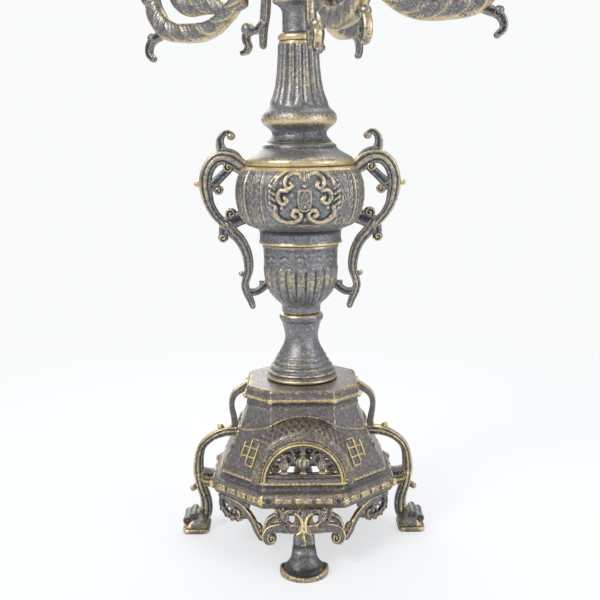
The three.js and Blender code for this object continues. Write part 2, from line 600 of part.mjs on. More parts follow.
function makeHandle() {
  // Points are [beyond the belly's radius, above the belly's seat]; a height below the seat is a share
  // of the drop from the seat to the cup's screw.
  const drop = BELLY_SEAT_Z - CUP_SEAT_Z - HANDLE_LOWER_Z;
  const at = (points) => points.map(([x, y]) => [BELLY_R + x, BELLY_SEAT_Z + (y > 0 ? y : y * drop)]);
  const main = stroke(at([[-4.4, 47.7], [1.6, 54.2], [9.6, 56.2], [16.6, 52.7], [21.2, 44.7], [21.6, 35.7],
    [19, 26.2], [14.1, 17.7], [10.1, 11.2]]), [3.4, 3, 3.2, 3.6, 3.6, 3, 2.8], HANDLE_DEPTH);
  const hook = stroke(at([[5.6, 55.7], [9.2, 61.7], [10.4, 67.7], [9.2, 73.2], [5.6, 76.3], [2.2, 74.3]]),
    [3, 2.6, 2.1, 1.7], HANDLE_DEPTH - 1);
  const crest = stroke(at([[8.6, 58.7], [2.6, 59.7], [-1.9, 53.7], [-4.4, 47.7]]), [1.8, 2.6, 3],
    HANDLE_DEPTH - 0.6);
  const branch = stroke(at([[3.6, 50.7], [9.6, 45.7], [14.2, 41.3], [16.2, 37.1], [13.8, 33.9], [11, 35.1]]),
    [2.2, 2, 1.8, 1.5], HANDLE_DEPTH - 1);
  const link = stroke([[handleUpperX + 7, BELLY_SEAT_Z + HANDLE_UPPER_Z], ...at([[3.6, 19.1], [10.6, 13.7]])],
    [3.8, 3.8, 3], HANDLE_DEPTH - 0.2);
  const knob = stroke(at([[9.6, 13.7], [11, 7.7], [9.8, 4.1]]), [2.4, 1.8], HANDLE_DEPTH - 1);
  const lower = stroke(at([[7.6, 13.2], [3.2, 7.7], [-2.4, 0.7], [-6.5, -0.279], [-7.6, -0.582],
    [-6.4, -0.886],
    [-4.8, -1.082], [-6.8, -1.282], [-9.8, -1.632]]),
  [2.8, 2.8, 2.6, 1.9, 2.2, 2.6, 1.5], HANDLE_DEPTH - 0.4);
  const strut = stroke([...at([[-7.8, -1.239], [-13.4, -1.175]]),
    [CUP_R - 3.4, CUP_SEAT_Z + HANDLE_LOWER_Z]], [2.4, 2.2, 2.8], HANDLE_DEPTH - 0.6);
  const balls = [[2, 73.7, 2.5], [10.8, 35.1, 2.3], [10, 4.1, 3.2], [26.6, 40.5, 2.1], [-3.4, -0.782, 1.9]]
    .map(([x, y, radius]) => ball(...at([[x, y]])[0], radius));
  const body = join([main, hook, crest, branch, link, knob, lower, strut, ...balls].map(solidOf));
  const upper = handleScrewHoles.upper().map((hole) => hole.translate([0, 0, BELLY_SEAT_Z]));
  const low = handleScrewHoles.lower().map((hole) => hole.translate([0, 0, CUP_SEAT_Z]));
  return body.subtract(urnEnvelope(FIT)).subtract(join(upper, low));
}

// Assembly, from the floor up
place('base_body', makeBase(), baseBrass);

const grille = makeGrille();
place('grille_front', grille, baseBrass);
place('grille_back', grille, baseBrass).rotation.z = Math.PI;

const tallLeg = makeTallLeg();
place('leg_right', tallLeg, baseBrass);
place('leg_left', tallLeg, baseBrass).rotation.z = Math.PI;

const shortLeg = makeShortLeg();
place('leg_front', shortLeg, baseBrass);
place('leg_back', shortLeg, baseBrass).rotation.z = Math.PI;

// The aprons hang from the rim under the diagonal faces, each with its loop towards a tall leg.
const apron = makeApron();
const apronMirrored = solidOf(geometryOf(apron).scale(-1, 1, 1));
const apronDistance = (RIM_APOTHEM - RIM_SETBACK + RIM_CORNER) / Math.SQRT2 - APRON_SETBACK;
const aprons = [['front_left', 225, apron], ['front_right', 315, apronMirrored],
  ['back_right', 45, apron], ['back_left', 135, apronMirrored]];
for (const [name, azimuth, solid] of aprons) {
  const face = groupAt(0, azimuth + 90);
  const mesh = place(`apron_${name}`, solid, baseBrass, face);
  mesh.position.y = -apronDistance;
}

const legScrew = solidOf(makeScrew(LEG_SCREW_HEAD_R, LEG_SCREW_HEAD, LEG_SCREW_LENGTH));
for (const [name, azimuth] of [['right', 0], ['left', 180]]) {
  const side = groupAt(LEG_SCREW_Z, azimuth);
  const mesh = place(`leg_screw_${name}`, legScrew, steel, side);
  mesh.position.x = LEG_SCREW_X - FIT;
  mesh.rotation.y = RIGHT_ANGLE;
}

let level = PLATFORM_Z + FIT;
const stack = [['stem_foot', makeStemFoot(), STEM_FOOT_HEIGHT], ['urn_cup', makeCup(), CUP_HEIGHT],
  ['urn_belly', makeBelly(), BELLY_HEIGHT], ['urn_lid', makeLid(), LID_HEIGHT],
  ['column', makeColumn(), COLUMN_HEIGHT], ['arm_seat', makeArmSeat(), SEAT_HEIGHT]];
for (const [name, solid, height] of stack) {
  place(name, solid, stemBrass, groupAt(level));
  level += height + FIT;
}

const handle = makeHandle();
place('handle_right', handle, stemBrass);
place('handle_left', handle, stemBrass).rotation.z = Math.PI;

const handleScrew = solidOf(makeScrew(HANDLE_SCREW_HEAD_R, HANDLE_SCREW_HEAD, HANDLE_SCREW_LENGTH));
for (const [name, azimuth] of [['right', 0], ['left', 180]]) {
  const seats = [['upper', BELLY_SEAT_Z + HANDLE_UPPER_Z, handleUpperX],
    ['lower', CUP_SEAT_Z + HANDLE_LOWER_Z, handleLowerX]];
  for (const [which, z, x] of seats) {
    const mesh = place(`handle_screw_${which}_${name}`, handleScrew, steel, groupAt(z, azimuth));
    mesh.position.x = x - FIT;
    mesh.rotation.y = RIGHT_ANGLE;
  }
}

const spindle = turned([[ROD_R + ROD_CLEARANCE, 0], [SPINDLE_R, 0], [SPINDLE_R, stackHeight],
  [ROD_R + ROD_CLEARANCE, stackHeight]], 16);
place('arm_spindle', solidOf(spindle), rubbedBrass, groupAt(level));

const arm = makeArm();
const armPan = makePan(SOCKET_SCREW_R + FIT);
const armSocket = makeSocket(SOCKET_SCREW_R + FIT);
const socketScrew = makeSocketScrew();
const topEye = level + stackHeight - (eyePitch + FIT) / 2;
armNames.forEach((name, i) => {
  const group = groupAt(topEye - i * eyePitch, ARM_AZIMUTHS[name]);
  place(`arm_${name}`, arm, stemBrass, group);
  const panZ = ARM_BOSS_Z + FIT;
  const socketZ = panZ + PAN_THICKNESS + FIT;
  place(`pan_${name}`, armPan, rubbedBrass, group).position.set(ARM_REACH, 0, panZ);
  place(`socket_${name}`, armSocket, rubbedBrass, group).position.set(ARM_REACH, 0, socketZ);
  const screwZ = socketZ + SOCKET_FLOOR + FIT;
  place(`socket_screw_${name}`, socketScrew, steel, group).position.set(ARM_REACH, 0, screwZ);
});

level += stackHeight + FIT;
place('hub_cap', makeCap(), stemBrass, groupAt(level));
level += CAP_HEIGHT + FIT;
place('centre_stem', makeCentreStem(), stemBrass, groupAt(level));
level += CENTRE_STEM_HEIGHT + FIT;
const centreBore = ROD_R + ROD_CLEARANCE;
place('pan_centre', makePan(centreBore), rubbedBrass, groupAt(level));
level += PAN_THICKNESS + FIT;
place('socket_centre', makeSocket(centreBore), rubbedBrass, groupAt(level));

// Tie rod through the whole stem, with its nuts and washer.
const underside = PLATFORM_Z - PLATFORM_THICKNESS;
const rodTop = level + SOCKET_FLOOR + NUT_HEIGHT + ROD_TIP;
const rodBottom = underside - WASHER_THICKNESS - NUT_HEIGHT - ROD_TAIL;
place('tie_rod', solidOf(cylinder(ROD_R, rodBottom, rodTop)), steel);
const hexNut = (z) => solidOf(cylinder(NUT_R, z, z + NUT_HEIGHT, 6))
  .subtract(solidOf(cylinder(ROD_R + FIT, z - 1, z + NUT_HEIGHT + 1)));
place('top_nut', hexNut(level + SOCKET_FLOOR + FIT), steel);
place('rod_nut', hexNut(underside - WASHER_THICKNESS - NUT_HEIGHT - 2 * FIT), steel);
const washerZ = underside - WASHER_THICKNESS - FIT;
const washer = turned([[ROD_R + FIT, washerZ], [WASHER_R, washerZ], [WASHER_R, underside - FIT],
  [ROD_R + FIT, underside - FIT]], 16);
place('rod_washer', solidOf(washer), steel);

export default root;
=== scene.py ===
# %% [markdown]
# # A candelabrum of cast and antiqued brass
#
# This lesson dresses the solids of a candelabrum. The real object is cast in many pieces, darkened all
# over, and then rubbed, so that its raised edges show gold and its hollows stay dark. Each piece below is a
# surface worked out with numpy, and one measure, how far a point stands out from its surroundings, drives
# the finish.

import math
from collections import namedtuple

import bpy
import numpy as np
from mathutils import Matrix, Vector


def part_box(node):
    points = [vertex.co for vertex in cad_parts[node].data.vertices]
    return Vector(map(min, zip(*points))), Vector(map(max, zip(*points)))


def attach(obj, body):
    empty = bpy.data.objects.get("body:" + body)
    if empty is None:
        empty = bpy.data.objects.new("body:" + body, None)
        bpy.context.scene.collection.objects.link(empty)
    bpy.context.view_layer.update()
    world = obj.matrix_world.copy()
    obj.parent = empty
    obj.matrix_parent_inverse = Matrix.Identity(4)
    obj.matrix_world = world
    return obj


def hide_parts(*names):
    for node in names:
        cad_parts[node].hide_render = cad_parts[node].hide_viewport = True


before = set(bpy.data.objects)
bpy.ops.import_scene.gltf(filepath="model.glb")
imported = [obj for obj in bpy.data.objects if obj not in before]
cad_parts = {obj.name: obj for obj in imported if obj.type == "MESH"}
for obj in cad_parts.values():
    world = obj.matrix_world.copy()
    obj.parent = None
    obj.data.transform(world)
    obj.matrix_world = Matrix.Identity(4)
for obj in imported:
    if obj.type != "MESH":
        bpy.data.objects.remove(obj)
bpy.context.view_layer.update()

# %% [markdown]
# ## The camera
#
# The photograph looks a little down on the base, so the camera stands above the middle of the object and is
# pitched by ten degrees, and rolled by two thirds of a degree, as it was held. It comes first, because the
# framing shows at once whether the sizes are right.

# %% Camera
MM = 0.001
SENSOR = 36.0
LENS = 60.0
CAMERA_X, CAMERA_Y, CAMERA_Z = -0.8, -689.4, 289.1
PITCH = math.radians(10)
ROLL = 0.0115

camera = bpy.data.objects.new("camera", bpy.data.cameras.new("camera"))
bpy.context.scene.collection.objects.link(camera)
camera.data.lens = LENS
camera.data.sensor_width = SENSOR
camera.location = (CAMERA_X * MM, CAMERA_Y * MM, CAMERA_Z * MM)
turned_up = Matrix.Rotation(math.pi / 2 - PITCH, 3, "X")
camera.rotation_euler = (turned_up @ Matrix.Rotation(-ROLL, 3, "Z")).to_euler()
bpy.context.scene.camera = camera
print("camera at", [round(v, 3) for v in camera.location])

# %% [markdown]
# ## Light and floor
#
# Polished metal shows its surroundings, so the light is a pale room: a white world, four large soft lamps
# and a floor. The camera sees the world nearly white, and the floor too once it is far from the feet:
# nearer by, more of the real floor shows, with its shadow. The lamps stay low enough that the gold edges
# keep their colour.


# %% Helpers for shader nodes
def link(tree, source, target):
    """Joins an output to an input."""
    tree.links.new(source, target)


def math_node(tree, operation, a, b=None, c=None, clamp=False):
    """A Math node whose inputs are numbers or sockets."""
    node = tree.nodes.new("ShaderNodeMath")
    node.operation = operation
    node.use_clamp = clamp
    for socket, value in zip(node.inputs, (a, b, c)):
        if value is None:
            continue
        if isinstance(value, (int, float)):
            socket.default_value = value
        else:
            link(tree, value, socket)
    return node.outputs[0]


def ramp_node(tree, value, low, high, start=0.0, end=1.0):
    """An easy S from start, where the value is low, to end, where it is high."""
    node = tree.nodes.new("ShaderNodeMapRange")
    node.interpolation_type = "SMOOTHSTEP"
    node.inputs["From Min"].default_value = low
    node.inputs["From Max"].default_value = high
    node.inputs["To Min"].default_value = start
    node.inputs["To Max"].default_value = end
    link(tree, value, node.inputs["Value"])
    return node.outputs["Result"]


def for_camera(tree, real, shown, share=None):
    """A shader that lights the object as `real` does, while the camera sees `shown`, as far as share says."""
    ray = tree.nodes.new("ShaderNodeLightPath").outputs["Is Camera Ray"]
    if share is not None:
        ray = math_node(tree, "MULTIPLY", ray, share)
    chooser = tree.nodes.new("ShaderNodeMixShader")
    link(tree, ray, chooser.inputs["Fac"])
    link(tree, real, chooser.inputs[1])
    link(tree, shown, chooser.inputs[2])
    return chooser.outputs[0]


# %% Lamps, world and floor
def lamp(name, place, target, size, power, colour=(1, 1, 1)):
    """A square area lamp at place, turned towards target."""
    light = bpy.data.lights.new(name, "AREA")
    light.shape = "SQUARE"
    light.size = size
    light.energy = power
    light.color = colour
    holder = bpy.data.objects.new(name, light)
    holder.location = place
    away = np.subtract(place, target)
    flat = math.hypot(away[0], away[1])
    holder.rotation_euler = (math.atan2(flat, away[2]), 0, math.atan2(away[0], -away[1]))
    bpy.context.scene.collection.objects.link(holder)
    return holder


AIM = (0, 0, 0.22)
PAPER_WHITE = (0.95, 0.956, 0.962, 1)
ROOM_BLUE = (0.9, 0.94, 1.0, 1)
ROOM_STRENGTH = 0.52
FLOOR_GREY = (0.78, 0.8, 0.83, 1)
FLOOR_R = 6.0
FADE_NEAR, FADE_FAR = 0.12, 0.7
GLOW_NEAR, GLOW_FAR = 0.66, 1.0
lamp("key_lamp", (-0.75, -0.8, 1.05), AIM, 0.55, 11.0)
lamp("fill_lamp", (0.95, -0.6, 0.55), AIM, 0.7, 5.0, (0.93, 0.96, 1.0))
lamp("top_lamp", (0.15, 0.35, 1.3), AIM, 0.8, 7.0)
lamp("back_lamp", (-0.3, 1.0, 0.7), AIM, 0.8, 5.0)

world = bpy.data.worlds.new("pale room")
bpy.context.scene.world = world
world.use_nodes = True
sky = world.node_tree
sky.nodes.clear()
shades = []
for colour, strength in ((ROOM_BLUE, ROOM_STRENGTH), (PAPER_WHITE, 1.0)):
    background = sky.nodes.new("ShaderNodeBackground")
    background.inputs["Color"].default_value = colour
    background.inputs["Strength"].default_value = strength
    shades.append(background.outputs[0])
link(sky, for_camera(sky, *shades), sky.nodes.new("ShaderNodeOutputWorld").inputs["Surface"])


def circle(count):
    """Angles of points spread evenly round a circle."""
    return np.linspace(0, 2 * np.pi, count, endpoint=False)


def floor_disc(radius, count=96):
    """A flat disc on the ground, as one ring of points joined to one face."""
    turn = circle(count)
    ring = np.stack([radius * np.cos(turn), radius * np.sin(turn), np.zeros(count)], 1)
    mesh = bpy.data.meshes.new("floor")
    mesh.from_pydata(ring.tolist(), [], [list(range(count))])
    obj = bpy.data.objects.new("floor", mesh)
    bpy.context.scene.collection.objects.link(obj)
    return obj


floor = floor_disc(FLOOR_R)
floor_paint = bpy.data.materials.new("pale floor")
floor_paint.use_nodes = True
paint = floor_paint.node_tree
matte = paint.nodes["Principled BSDF"]
matte.inputs["Base Color"].default_value = FLOOR_GREY
matte.inputs["Roughness"].default_value = 0.8
glow = paint.nodes.new("ShaderNodeEmission")
glow.inputs["Color"].default_value = PAPER_WHITE
distance = paint.nodes.new("ShaderNodeVectorMath")
distance.operation = "LENGTH"
link(paint, paint.nodes.new("ShaderNodeTexCoord").outputs["Object"], distance.inputs[0])
fade = ramp_node(paint, distance.outputs["Value"], FADE_NEAR, FADE_FAR, GLOW_NEAR, GLOW_FAR)
surface = for_camera(paint, matte.outputs[0], glow.outputs[0], fade)
link(paint, surface, paint.nodes["Material Output"].inputs["Surface"])
floor.data.materials.append(floor_paint)
bpy.context.scene.view_settings.view_transform = "Standard"

# %% [markdown]
# ## Shells: the clay of this lesson
#
# A shell is one closed surface: its points in millimetres, its four-sided faces, and the many-sided faces
# that close its ends. A casting is several shells in one mesh, because founders build a model in the same
# way, from a body, scrolls and buttons that run into each other.

# %% Shells
Shell = namedtuple("Shell", "points quads caps polish")


def signed_volume(points, quads, caps):
    """Sum of the tetrahedra between the origin and each face: negative where faces point inwards."""
    corners = [points[quads[:, k]] for k in range(4)]
    total = np.einsum("ij,ij->i", corners[0], np.cross(corners[1], corners[2])).sum()
    total += np.einsum("ij,ij->i", corners[0], np.cross(corners[2], corners[3])).sum()
    for cap in caps:
        ring = points[cap]
        total += np.einsum("ij,ij->i", np.broadcast_to(ring[0], ring[1:-1].shape),
                           np.cross(ring[1:-1], ring[2:])).sum()
    return total / 6


def grid_quads(rows, columns, wrap_rows=False, wrap_columns=True):
    """Faces of a grid of points, row by row; a wrapped direction joins its last line to its first."""
    r = np.arange(rows if wrap_rows else rows - 1)[:, None]
    c = np.arange(columns if wrap_columns else columns - 1)[None, :]
    next_r, next_c = (r + 1) % rows, (c + 1) % columns
    corners = [r * columns + c, r * columns + next_c, next_r * columns + next_c, next_r * columns + c]
    return np.stack([np.broadcast_to(k, np.broadcast(r, c).shape) for k in corners], -1).reshape(-1, 4)


def shell_of(grid, closed=False, polish=0.0):
    """A shell from points [row, column, xyz]: columns go round, rows join up (closed) or end in caps."""
    rows, columns = grid.shape[:2]
    points = grid.reshape(-1, 3)
    quads = grid_quads(rows, columns, wrap_rows=closed)
    caps = []
    if not closed:
        caps = [np.arange(columns)[::-1], (rows - 1) * columns + np.arange(columns)]
    if signed_volume(points, quads, caps) < 0:
        quads = quads[:, ::-1]
        caps = [cap[::-1] for cap in caps]
    return Shell(points, quads, caps, polish)


def moved(shell, change):
    """The shell with its points changed by a function of points, turned back out if that mirrors it."""
    points = change(shell.points)
    quads, caps = shell.quads, shell.caps
    if signed_volume(points, quads, caps) < 0:
        quads, caps = quads[:, ::-1], [cap[::-1] for cap in caps]
    return Shell(points, quads, caps, shell.polish)


def mirrored(shell, axis=0):
    """The shell's mirror image through the plane where that axis is zero."""
    sign = np.ones(3)
    sign[axis] = -1
    return moved(shell, lambda points: points * sign)


def turned_by(shell, degrees, shift=(0, 0, 0)):
    """The shell shifted, then turned about the stem axis."""
    c, s = math.cos(math.radians(degrees)), math.sin(math.radians(degrees))
    matrix = np.array([[c, s, 0], [-s, c, 0], [0, 0, 1]])
    return moved(shell, lambda points: (points + np.array(shift)) @ matrix)


# %% [markdown]
# ## How far a point stands out
#
# Rubbing takes the dark finish off whatever stands proud. So each mesh gets a value, `wear`: its surface is
# smoothed like butter, and the distance from the smoothed surface to the real one, along the normal, says
# whether a point is on a ridge or in a groove.


# %% Wear
SMOOTHING = 0.7
FEWEST_ROUNDS, MOST_ROUNDS = 3, 60


def point_normals(points, quads):
    """Unit normals: the sum of the cross products of each face's diagonals."""
    across = np.cross(points[quads[:, 2]] - points[quads[:, 0]], points[quads[:, 3]] - points[quads[:, 1]])
    normals = np.zeros_like(points)
    for k in range(4):
        for axis in range(3):
            normals[:, axis] += np.bincount(quads[:, k], across[:, axis], len(points))
    return normals / np.maximum(np.linalg.norm(normals, axis=1, keepdims=True), 1e-12)


def stand_out(points, quads, reach):
    """Height over the surface smoothed across about `reach` mm: repeated averages of each point's
    neighbours."""
    ends = np.concatenate([quads[:, [k, (k + 1) % 4]] for k in range(4)])
    a, b = np.concatenate([ends[:, 0], ends[:, 1]]), np.concatenate([ends[:, 1], ends[:, 0]])
    degree = np.maximum(np.bincount(a, minlength=len(points)), 1)
    edge = np.median(np.linalg.norm(points[ends[:, 0]] - points[ends[:, 1]], axis=1))
    rounds = int(np.clip((reach / edge) ** 2, FEWEST_ROUNDS, MOST_ROUNDS))
    smooth = points.copy()
    for _ in range(rounds):
        mean = np.stack([np.bincount(a, smooth[b, k], len(points)) / degree for k in range(3)], 1)
        smooth += SMOOTHING * (mean - smooth)
    return np.einsum("ij,ij->i", points - smooth, point_normals(points, quads))


def wear_of(shell, reach, span):
    """0 in deep grooves, 0.5 on plain surface, 1 on ridges well over `span` mm proud; polish shifts it."""
    height = stand_out(shell.points, shell.quads, reach)
    return 0.5 + 0.5 * np.tanh((height - np.median(height)) / span) + shell.polish


# %% [markdown]
# ## From shells to pieces
#
# A piece is one Blender object with its place in its mesh. It rides on a body, takes one of the finishes
# below, and hides the solids of the frame that it stands for.


# %% Pieces
def put_mesh(name, shells, wear):
    """One mesh of many shells, its corners, faces and wear values written as whole arrays."""
    points = np.concatenate([shell.points for shell in shells]) * MM
    starts = np.cumsum([0] + [len(shell.points) for shell in shells])
    quads = np.concatenate([shell.quads + start for shell, start in zip(shells, starts)])
    caps = [cap + start for shell, start in zip(shells, starts) for cap in shell.caps]
    corners = np.concatenate([quads.ravel(), *caps]).astype(np.int32)
    sizes = np.concatenate([np.full(len(quads), 4), [len(cap) for cap in caps]]).astype(np.int64)
    mesh = bpy.data.meshes.new(name)
    mesh.vertices.add(len(points))
    mesh.vertices.foreach_set("co", points.astype(np.float32).ravel())
    mesh.loops.add(len(corners))
    mesh.loops.foreach_set("vertex_index", corners)
    mesh.polygons.add(len(sizes))
    mesh.polygons.foreach_set("loop_start", (np.cumsum(sizes) - sizes).astype(np.int32))
    mesh.update(calc_edges=True)
    mesh.validate()
    mesh.shade_smooth()
    values = mesh.attributes.new("wear", "FLOAT", "POINT")
    values.data.foreach_set("value", wear.astype(np.float32))
    return mesh


def piece(name, shells, body, nodes, finish, reach=1.6, span=0.5):
    """An object from shells, with its finish, its body and the solids that it stands for."""
    wear = np.concatenate([wear_of(shell, reach, span) for shell in shells])
    obj = bpy.data.objects.new(name, put_mesh(name, shells, wear))
    bpy.context.scene.collection.objects.link(obj)
    obj.data.materials.append(finish)
    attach(obj, body)
    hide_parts(*nodes)
    faces = sum(2 * len(shell.quads) for shell in shells)
    print(f"{name}: {len(shells)} shells, {faces} triangles")
    return obj


def node_span(node):
    """Lowest and highest corner of a solid of the frame, in millimetres."""
    low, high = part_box(node)
    return np.array(low) / MM, np.array(high) / MM


# %% [markdown]
# ## The finish
#
# The antique finish is two metals in one: a dark skin and bare brass. A mask chooses between them: the wear
# value, broken up by noise at three sizes, so that edges look rubbed by hand and the cast surface shows its
# grain. The group below puts out masks for bare metal, pale specks and grooves, a roughness and the grain's
# height; the shader stays outside it.


# %% Shader group for rubbed patina
BLOTCHES, SMEARS, GRAINS, PITS = 110.0, 480.0, 1700.0, 1150.0
DARK_BELOW, BARE_ABOVE = 0.62, 0.9
SPECK_LOW, SPECK_HIGH = 0.46, 0.66
GROOVE_LOW, GROOVE_HIGH = 0.12, 0.47


def noise_node(tree, coordinates, scale, rough=0.5):
    """Noise on the given coordinates, in features per metre."""
    node = tree.nodes.new("ShaderNodeTexNoise")
    node.inputs["Scale"].default_value = scale
    node.inputs["Detail"].default_value = 2.0
    node.inputs["Roughness"].default_value = rough
    link(tree, coordinates, node.inputs["Vector"])
    return node.outputs["Fac"]


def make_patina_group():
    """Inputs: Wear, Rub (how much is bare), Grain (how speckled). Outputs: Bare, Speck, Groove, Rough,
    Height."""
    group = bpy.data.node_groups.new("rubbed patina", "ShaderNodeTree")
    for name, start in (("Wear", 0.5), ("Rub", 0.0), ("Grain", 1.0)):
        socket = group.interface.new_socket(name, in_out="INPUT", socket_type="NodeSocketFloat")
        socket.default_value = start
    for name in ("Bare", "Speck", "Groove", "Rough", "Height"):
        group.interface.new_socket(name, in_out="OUTPUT", socket_type="NodeSocketFloat")
    given = group.nodes.new("NodeGroupInput")
    result = group.nodes.new("NodeGroupOutput")
    place = group.nodes.new("ShaderNodeTexCoord").outputs["Object"]
    blotch = noise_node(group, place, BLOTCHES)
    smear = noise_node(group, place, SMEARS, 0.6)
    grain = noise_node(group, place, GRAINS, 0.7)
    pits = group.nodes.new("ShaderNodeTexVoronoi")
    pits.inputs["Scale"].default_value = PITS
    link(group, place, pits.inputs["Vector"])
    centred = [math_node(group, "MULTIPLY", math_node(group, "SUBTRACT", noise, 0.5), amount)
               for noise, amount in ((blotch, 0.45), (smear, 0.6), (grain, 1.45))]
    broken = math_node(group, "ADD", centred[0], centred[1])
    fine = math_node(group, "MULTIPLY", centred[2], given.outputs["Grain"])
    rubbed = math_node(group, "ADD", math_node(group, "ADD", given.outputs["Wear"], given.outputs["Rub"]),
                       math_node(group, "ADD", broken, fine))
    bare = ramp_node(group, rubbed, DARK_BELOW, BARE_ABOVE)
    link(group, bare, result.inputs["Bare"])
    mixed = math_node(group, "ADD", math_node(group, "MULTIPLY", grain, 0.8),
                      math_node(group, "MULTIPLY", smear, 0.2))
    pale = ramp_node(group, mixed, SPECK_LOW, SPECK_HIGH)
    speck = math_node(group, "MULTIPLY", pale, given.outputs["Grain"], clamp=True)
    link(group, speck, result.inputs["Speck"])
    low = math_node(group, "ADD", given.outputs["Wear"], math_node(group, "MULTIPLY", centred[1], 0.6))
    groove = math_node(group, "SUBTRACT", 1.0, ramp_node(group, low, GROOVE_LOW, GROOVE_HIGH))
    link(group, groove, result.inputs["Groove"])
    rough = math_node(group, "SUBTRACT",
                      math_node(group, "ADD", 0.4, math_node(group, "MULTIPLY", smear, 0.2)),
                      math_node(group, "MULTIPLY", bare, 0.1))
    link(group, rough, result.inputs["Rough"])
    height = math_node(group, "ADD", math_node(group, "MULTIPLY", grain, 0.7),
                       math_node(group, "MULTIPLY", pits.outputs["Distance"], 0.4))
    link(group, height, result.inputs["Height"])
    return group


patina_group = make_patina_group()
print("group", patina_group.name, "with", len(patina_group.nodes), "nodes")


# %% Antiqued brass
GROOVE_SHARE = 0.22
COAT, COAT_ROUGHNESS = 0.35, 0.24
GRAIN_HEIGHT = 0.25
GRAIN_STRENGTH = 0.35
METAL_SHARE = 0.88


def mix_colours(tree, factor, first, second):
    """A Mix node between two colours; each is a socket or three numbers."""
    node = tree.nodes.new("ShaderNodeMix")
    node.data_type = "RGBA"
    link(tree, factor, node.inputs["Factor"])
    for name, colour in (("A", first), ("B", second)):
        if isinstance(colour, bpy.types.NodeSocket):
            link(tree, colour, node.inputs[name])
        else:
            node.inputs[name].default_value = (*colour, 1)
    return node.outputs["Result"]


def antiqued(name, dark, speckle, bare, rub=0.0, grain=1.0, has_wear=True):
    """Dark skin with pale specks, over bare brass where the wear value is high."""
    material = bpy.data.materials.new(name)
    material.use_nodes = True
    tree = material.node_tree
    shader = tree.nodes["Principled BSDF"]
    shader.inputs["Metallic"].default_value = METAL_SHARE
    shader.inputs["Coat Weight"].default_value = COAT
    shader.inputs["Coat Roughness"].default_value = COAT_ROUGHNESS
    mask = tree.nodes.new("ShaderNodeGroup")
    mask.node_tree = patina_group
    mask.inputs["Rub"].default_value = rub
    mask.inputs["Grain"].default_value = grain
    if has_wear:
        wear = tree.nodes.new("ShaderNodeAttribute")
        wear.attribute_name = "wear"
        link(tree, wear.outputs["Fac"], mask.inputs["Wear"])
    skin = mix_colours(tree, mask.outputs["Speck"], dark, speckle)
    deep = mix_colours(tree, mask.outputs["Groove"], skin, GROOVE_SHARE * np.array(dark))
    link(tree, mix_colours(tree, mask.outputs["Bare"], deep, bare), shader.inputs["Base Color"])
    link(tree, mask.outputs["Rough"], shader.inputs["Roughness"])
    bump = tree.nodes.new("ShaderNodeBump")
    bump.inputs["Strength"].default_value = GRAIN_STRENGTH
    bump.inputs["Distance"].default_value = GRAIN_HEIGHT * MM
    link(tree, mask.outputs["Height"], bump.inputs["Height"])
    link(tree, bump.outputs["Normal"], shader.inputs["Normal"])
    return material


stem_finish = antiqued("antiqued stem brass", (0.15, 0.152, 0.162), (0.46, 0.45, 0.43), (0.72, 0.57, 0.33))
base_finish = antiqued("antiqued base brass", (0.138, 0.13, 0.13), (0.36, 0.335, 0.31), (0.74, 0.57, 0.29))
light_finish = antiqued("rubbed brass", (0.15, 0.14, 0.13), (0.4, 0.36, 0.29), (0.72, 0.57, 0.31), rub=0.07)
steel_finish = antiqued("plain steel", (0.28, 0.28, 0.29), (0.4, 0.4, 0.41), (0.52, 0.52, 0.53), grain=0.4,
                        has_wear=False)
print("finishes:", [m.name for m in bpy.data.materials])

# %% [markdown]
# ## Turned and fluted work
#
# The stem is turned: a profile of radius and height goes round the axis. Every piece has the tie rod's hole
# through it, so the profile closes on itself along the hole, and no pole is needed. Flutes and gadroons
# push the outer surface in between their crests.


# %% Profiles and lathes
def run_of(line):
    """How far each point of a line lies from its start, along the line."""
    return np.concatenate([[0], np.cumsum(np.linalg.norm(np.diff(line, axis=0), axis=1))])


def unit(vectors):
    """The same vectors [n, xyz or xz], each of length one."""
    return vectors / np.linalg.norm(vectors, axis=1, keepdims=True)


def dense(outline, step, closed=True, blur=1):
    """Points every `step` mm along the outline, with its corners softened by repeated averages."""
    outline = np.asarray(outline, float)
    if closed:
        outline = np.concatenate([outline, outline[:1]])
    run = run_of(outline)
    count = max(int(run[-1] / step), 4)
    at = np.linspace(0, run[-1], count, endpoint=not closed)
    line = np.stack([np.interp(at, run, outline[:, k]) for k in range(outline.shape[1])], 1)
    for _ in range(blur):
        if closed:
            line = (np.roll(line, 1, 0) + 2 * line + np.roll(line, -1, 0)) / 4
        else:
            line[1:-1] = (line[:-2] + 2 * line[1:-1] + line[2:]) / 4
    return line


BORE = 4.5
HOLE_POINTS = 6


def lathe(outside, bottom, step=0.55, columns=160, swell=None, blur=2, bore=BORE, polish=0.0, gilt=()):
    """A bored turned shell: (r, z) goes up the outside and down the hole; swell(angle, z, r) adds to r.
    Each band is a height, a half width and how much more it is rubbed there, as a bell curve. A negative band
    leaves it darker, and the belly's band under its swell is painted shade."""
    outside = dense(np.asarray(outside, float) + [0, bottom], step, closed=False, blur=blur)
    hole_z = np.linspace(outside[-1, 1], outside[0, 1], HOLE_POINTS)
    line = np.concatenate([outside, np.stack([np.full(HOLE_POINTS, bore), hole_z], 1)])
    angle = circle(columns)
    r = np.repeat(line[:, :1], columns, 1)
    z = np.repeat(line[:, 1:], columns, 1)
    if swell is not None:
        outer = np.clip((r - bore - 2) / 2, 0, 1)
        r = r + outer * swell(angle[None, :], z - bottom, r)
    grid = np.stack([r * np.sin(angle), -r * np.cos(angle), z], -1)
    # Bands add to the polish, and so to the wear value; the belly's band under its swell carries painted
    # shade, not rubbing.
    for height, half, amount in gilt:
        polish = polish + amount * np.exp(-(((z - bottom - height) / half) ** 2)).ravel()
    return shell_of(grid, closed=True, polish=polish)


def smoothstep(low, high, x):
    """0 below low, 1 above high, an easy S between."""
    t = np.clip((x - low) / (high - low), 0, 1)
    return t * t * (3 - 2 * t)


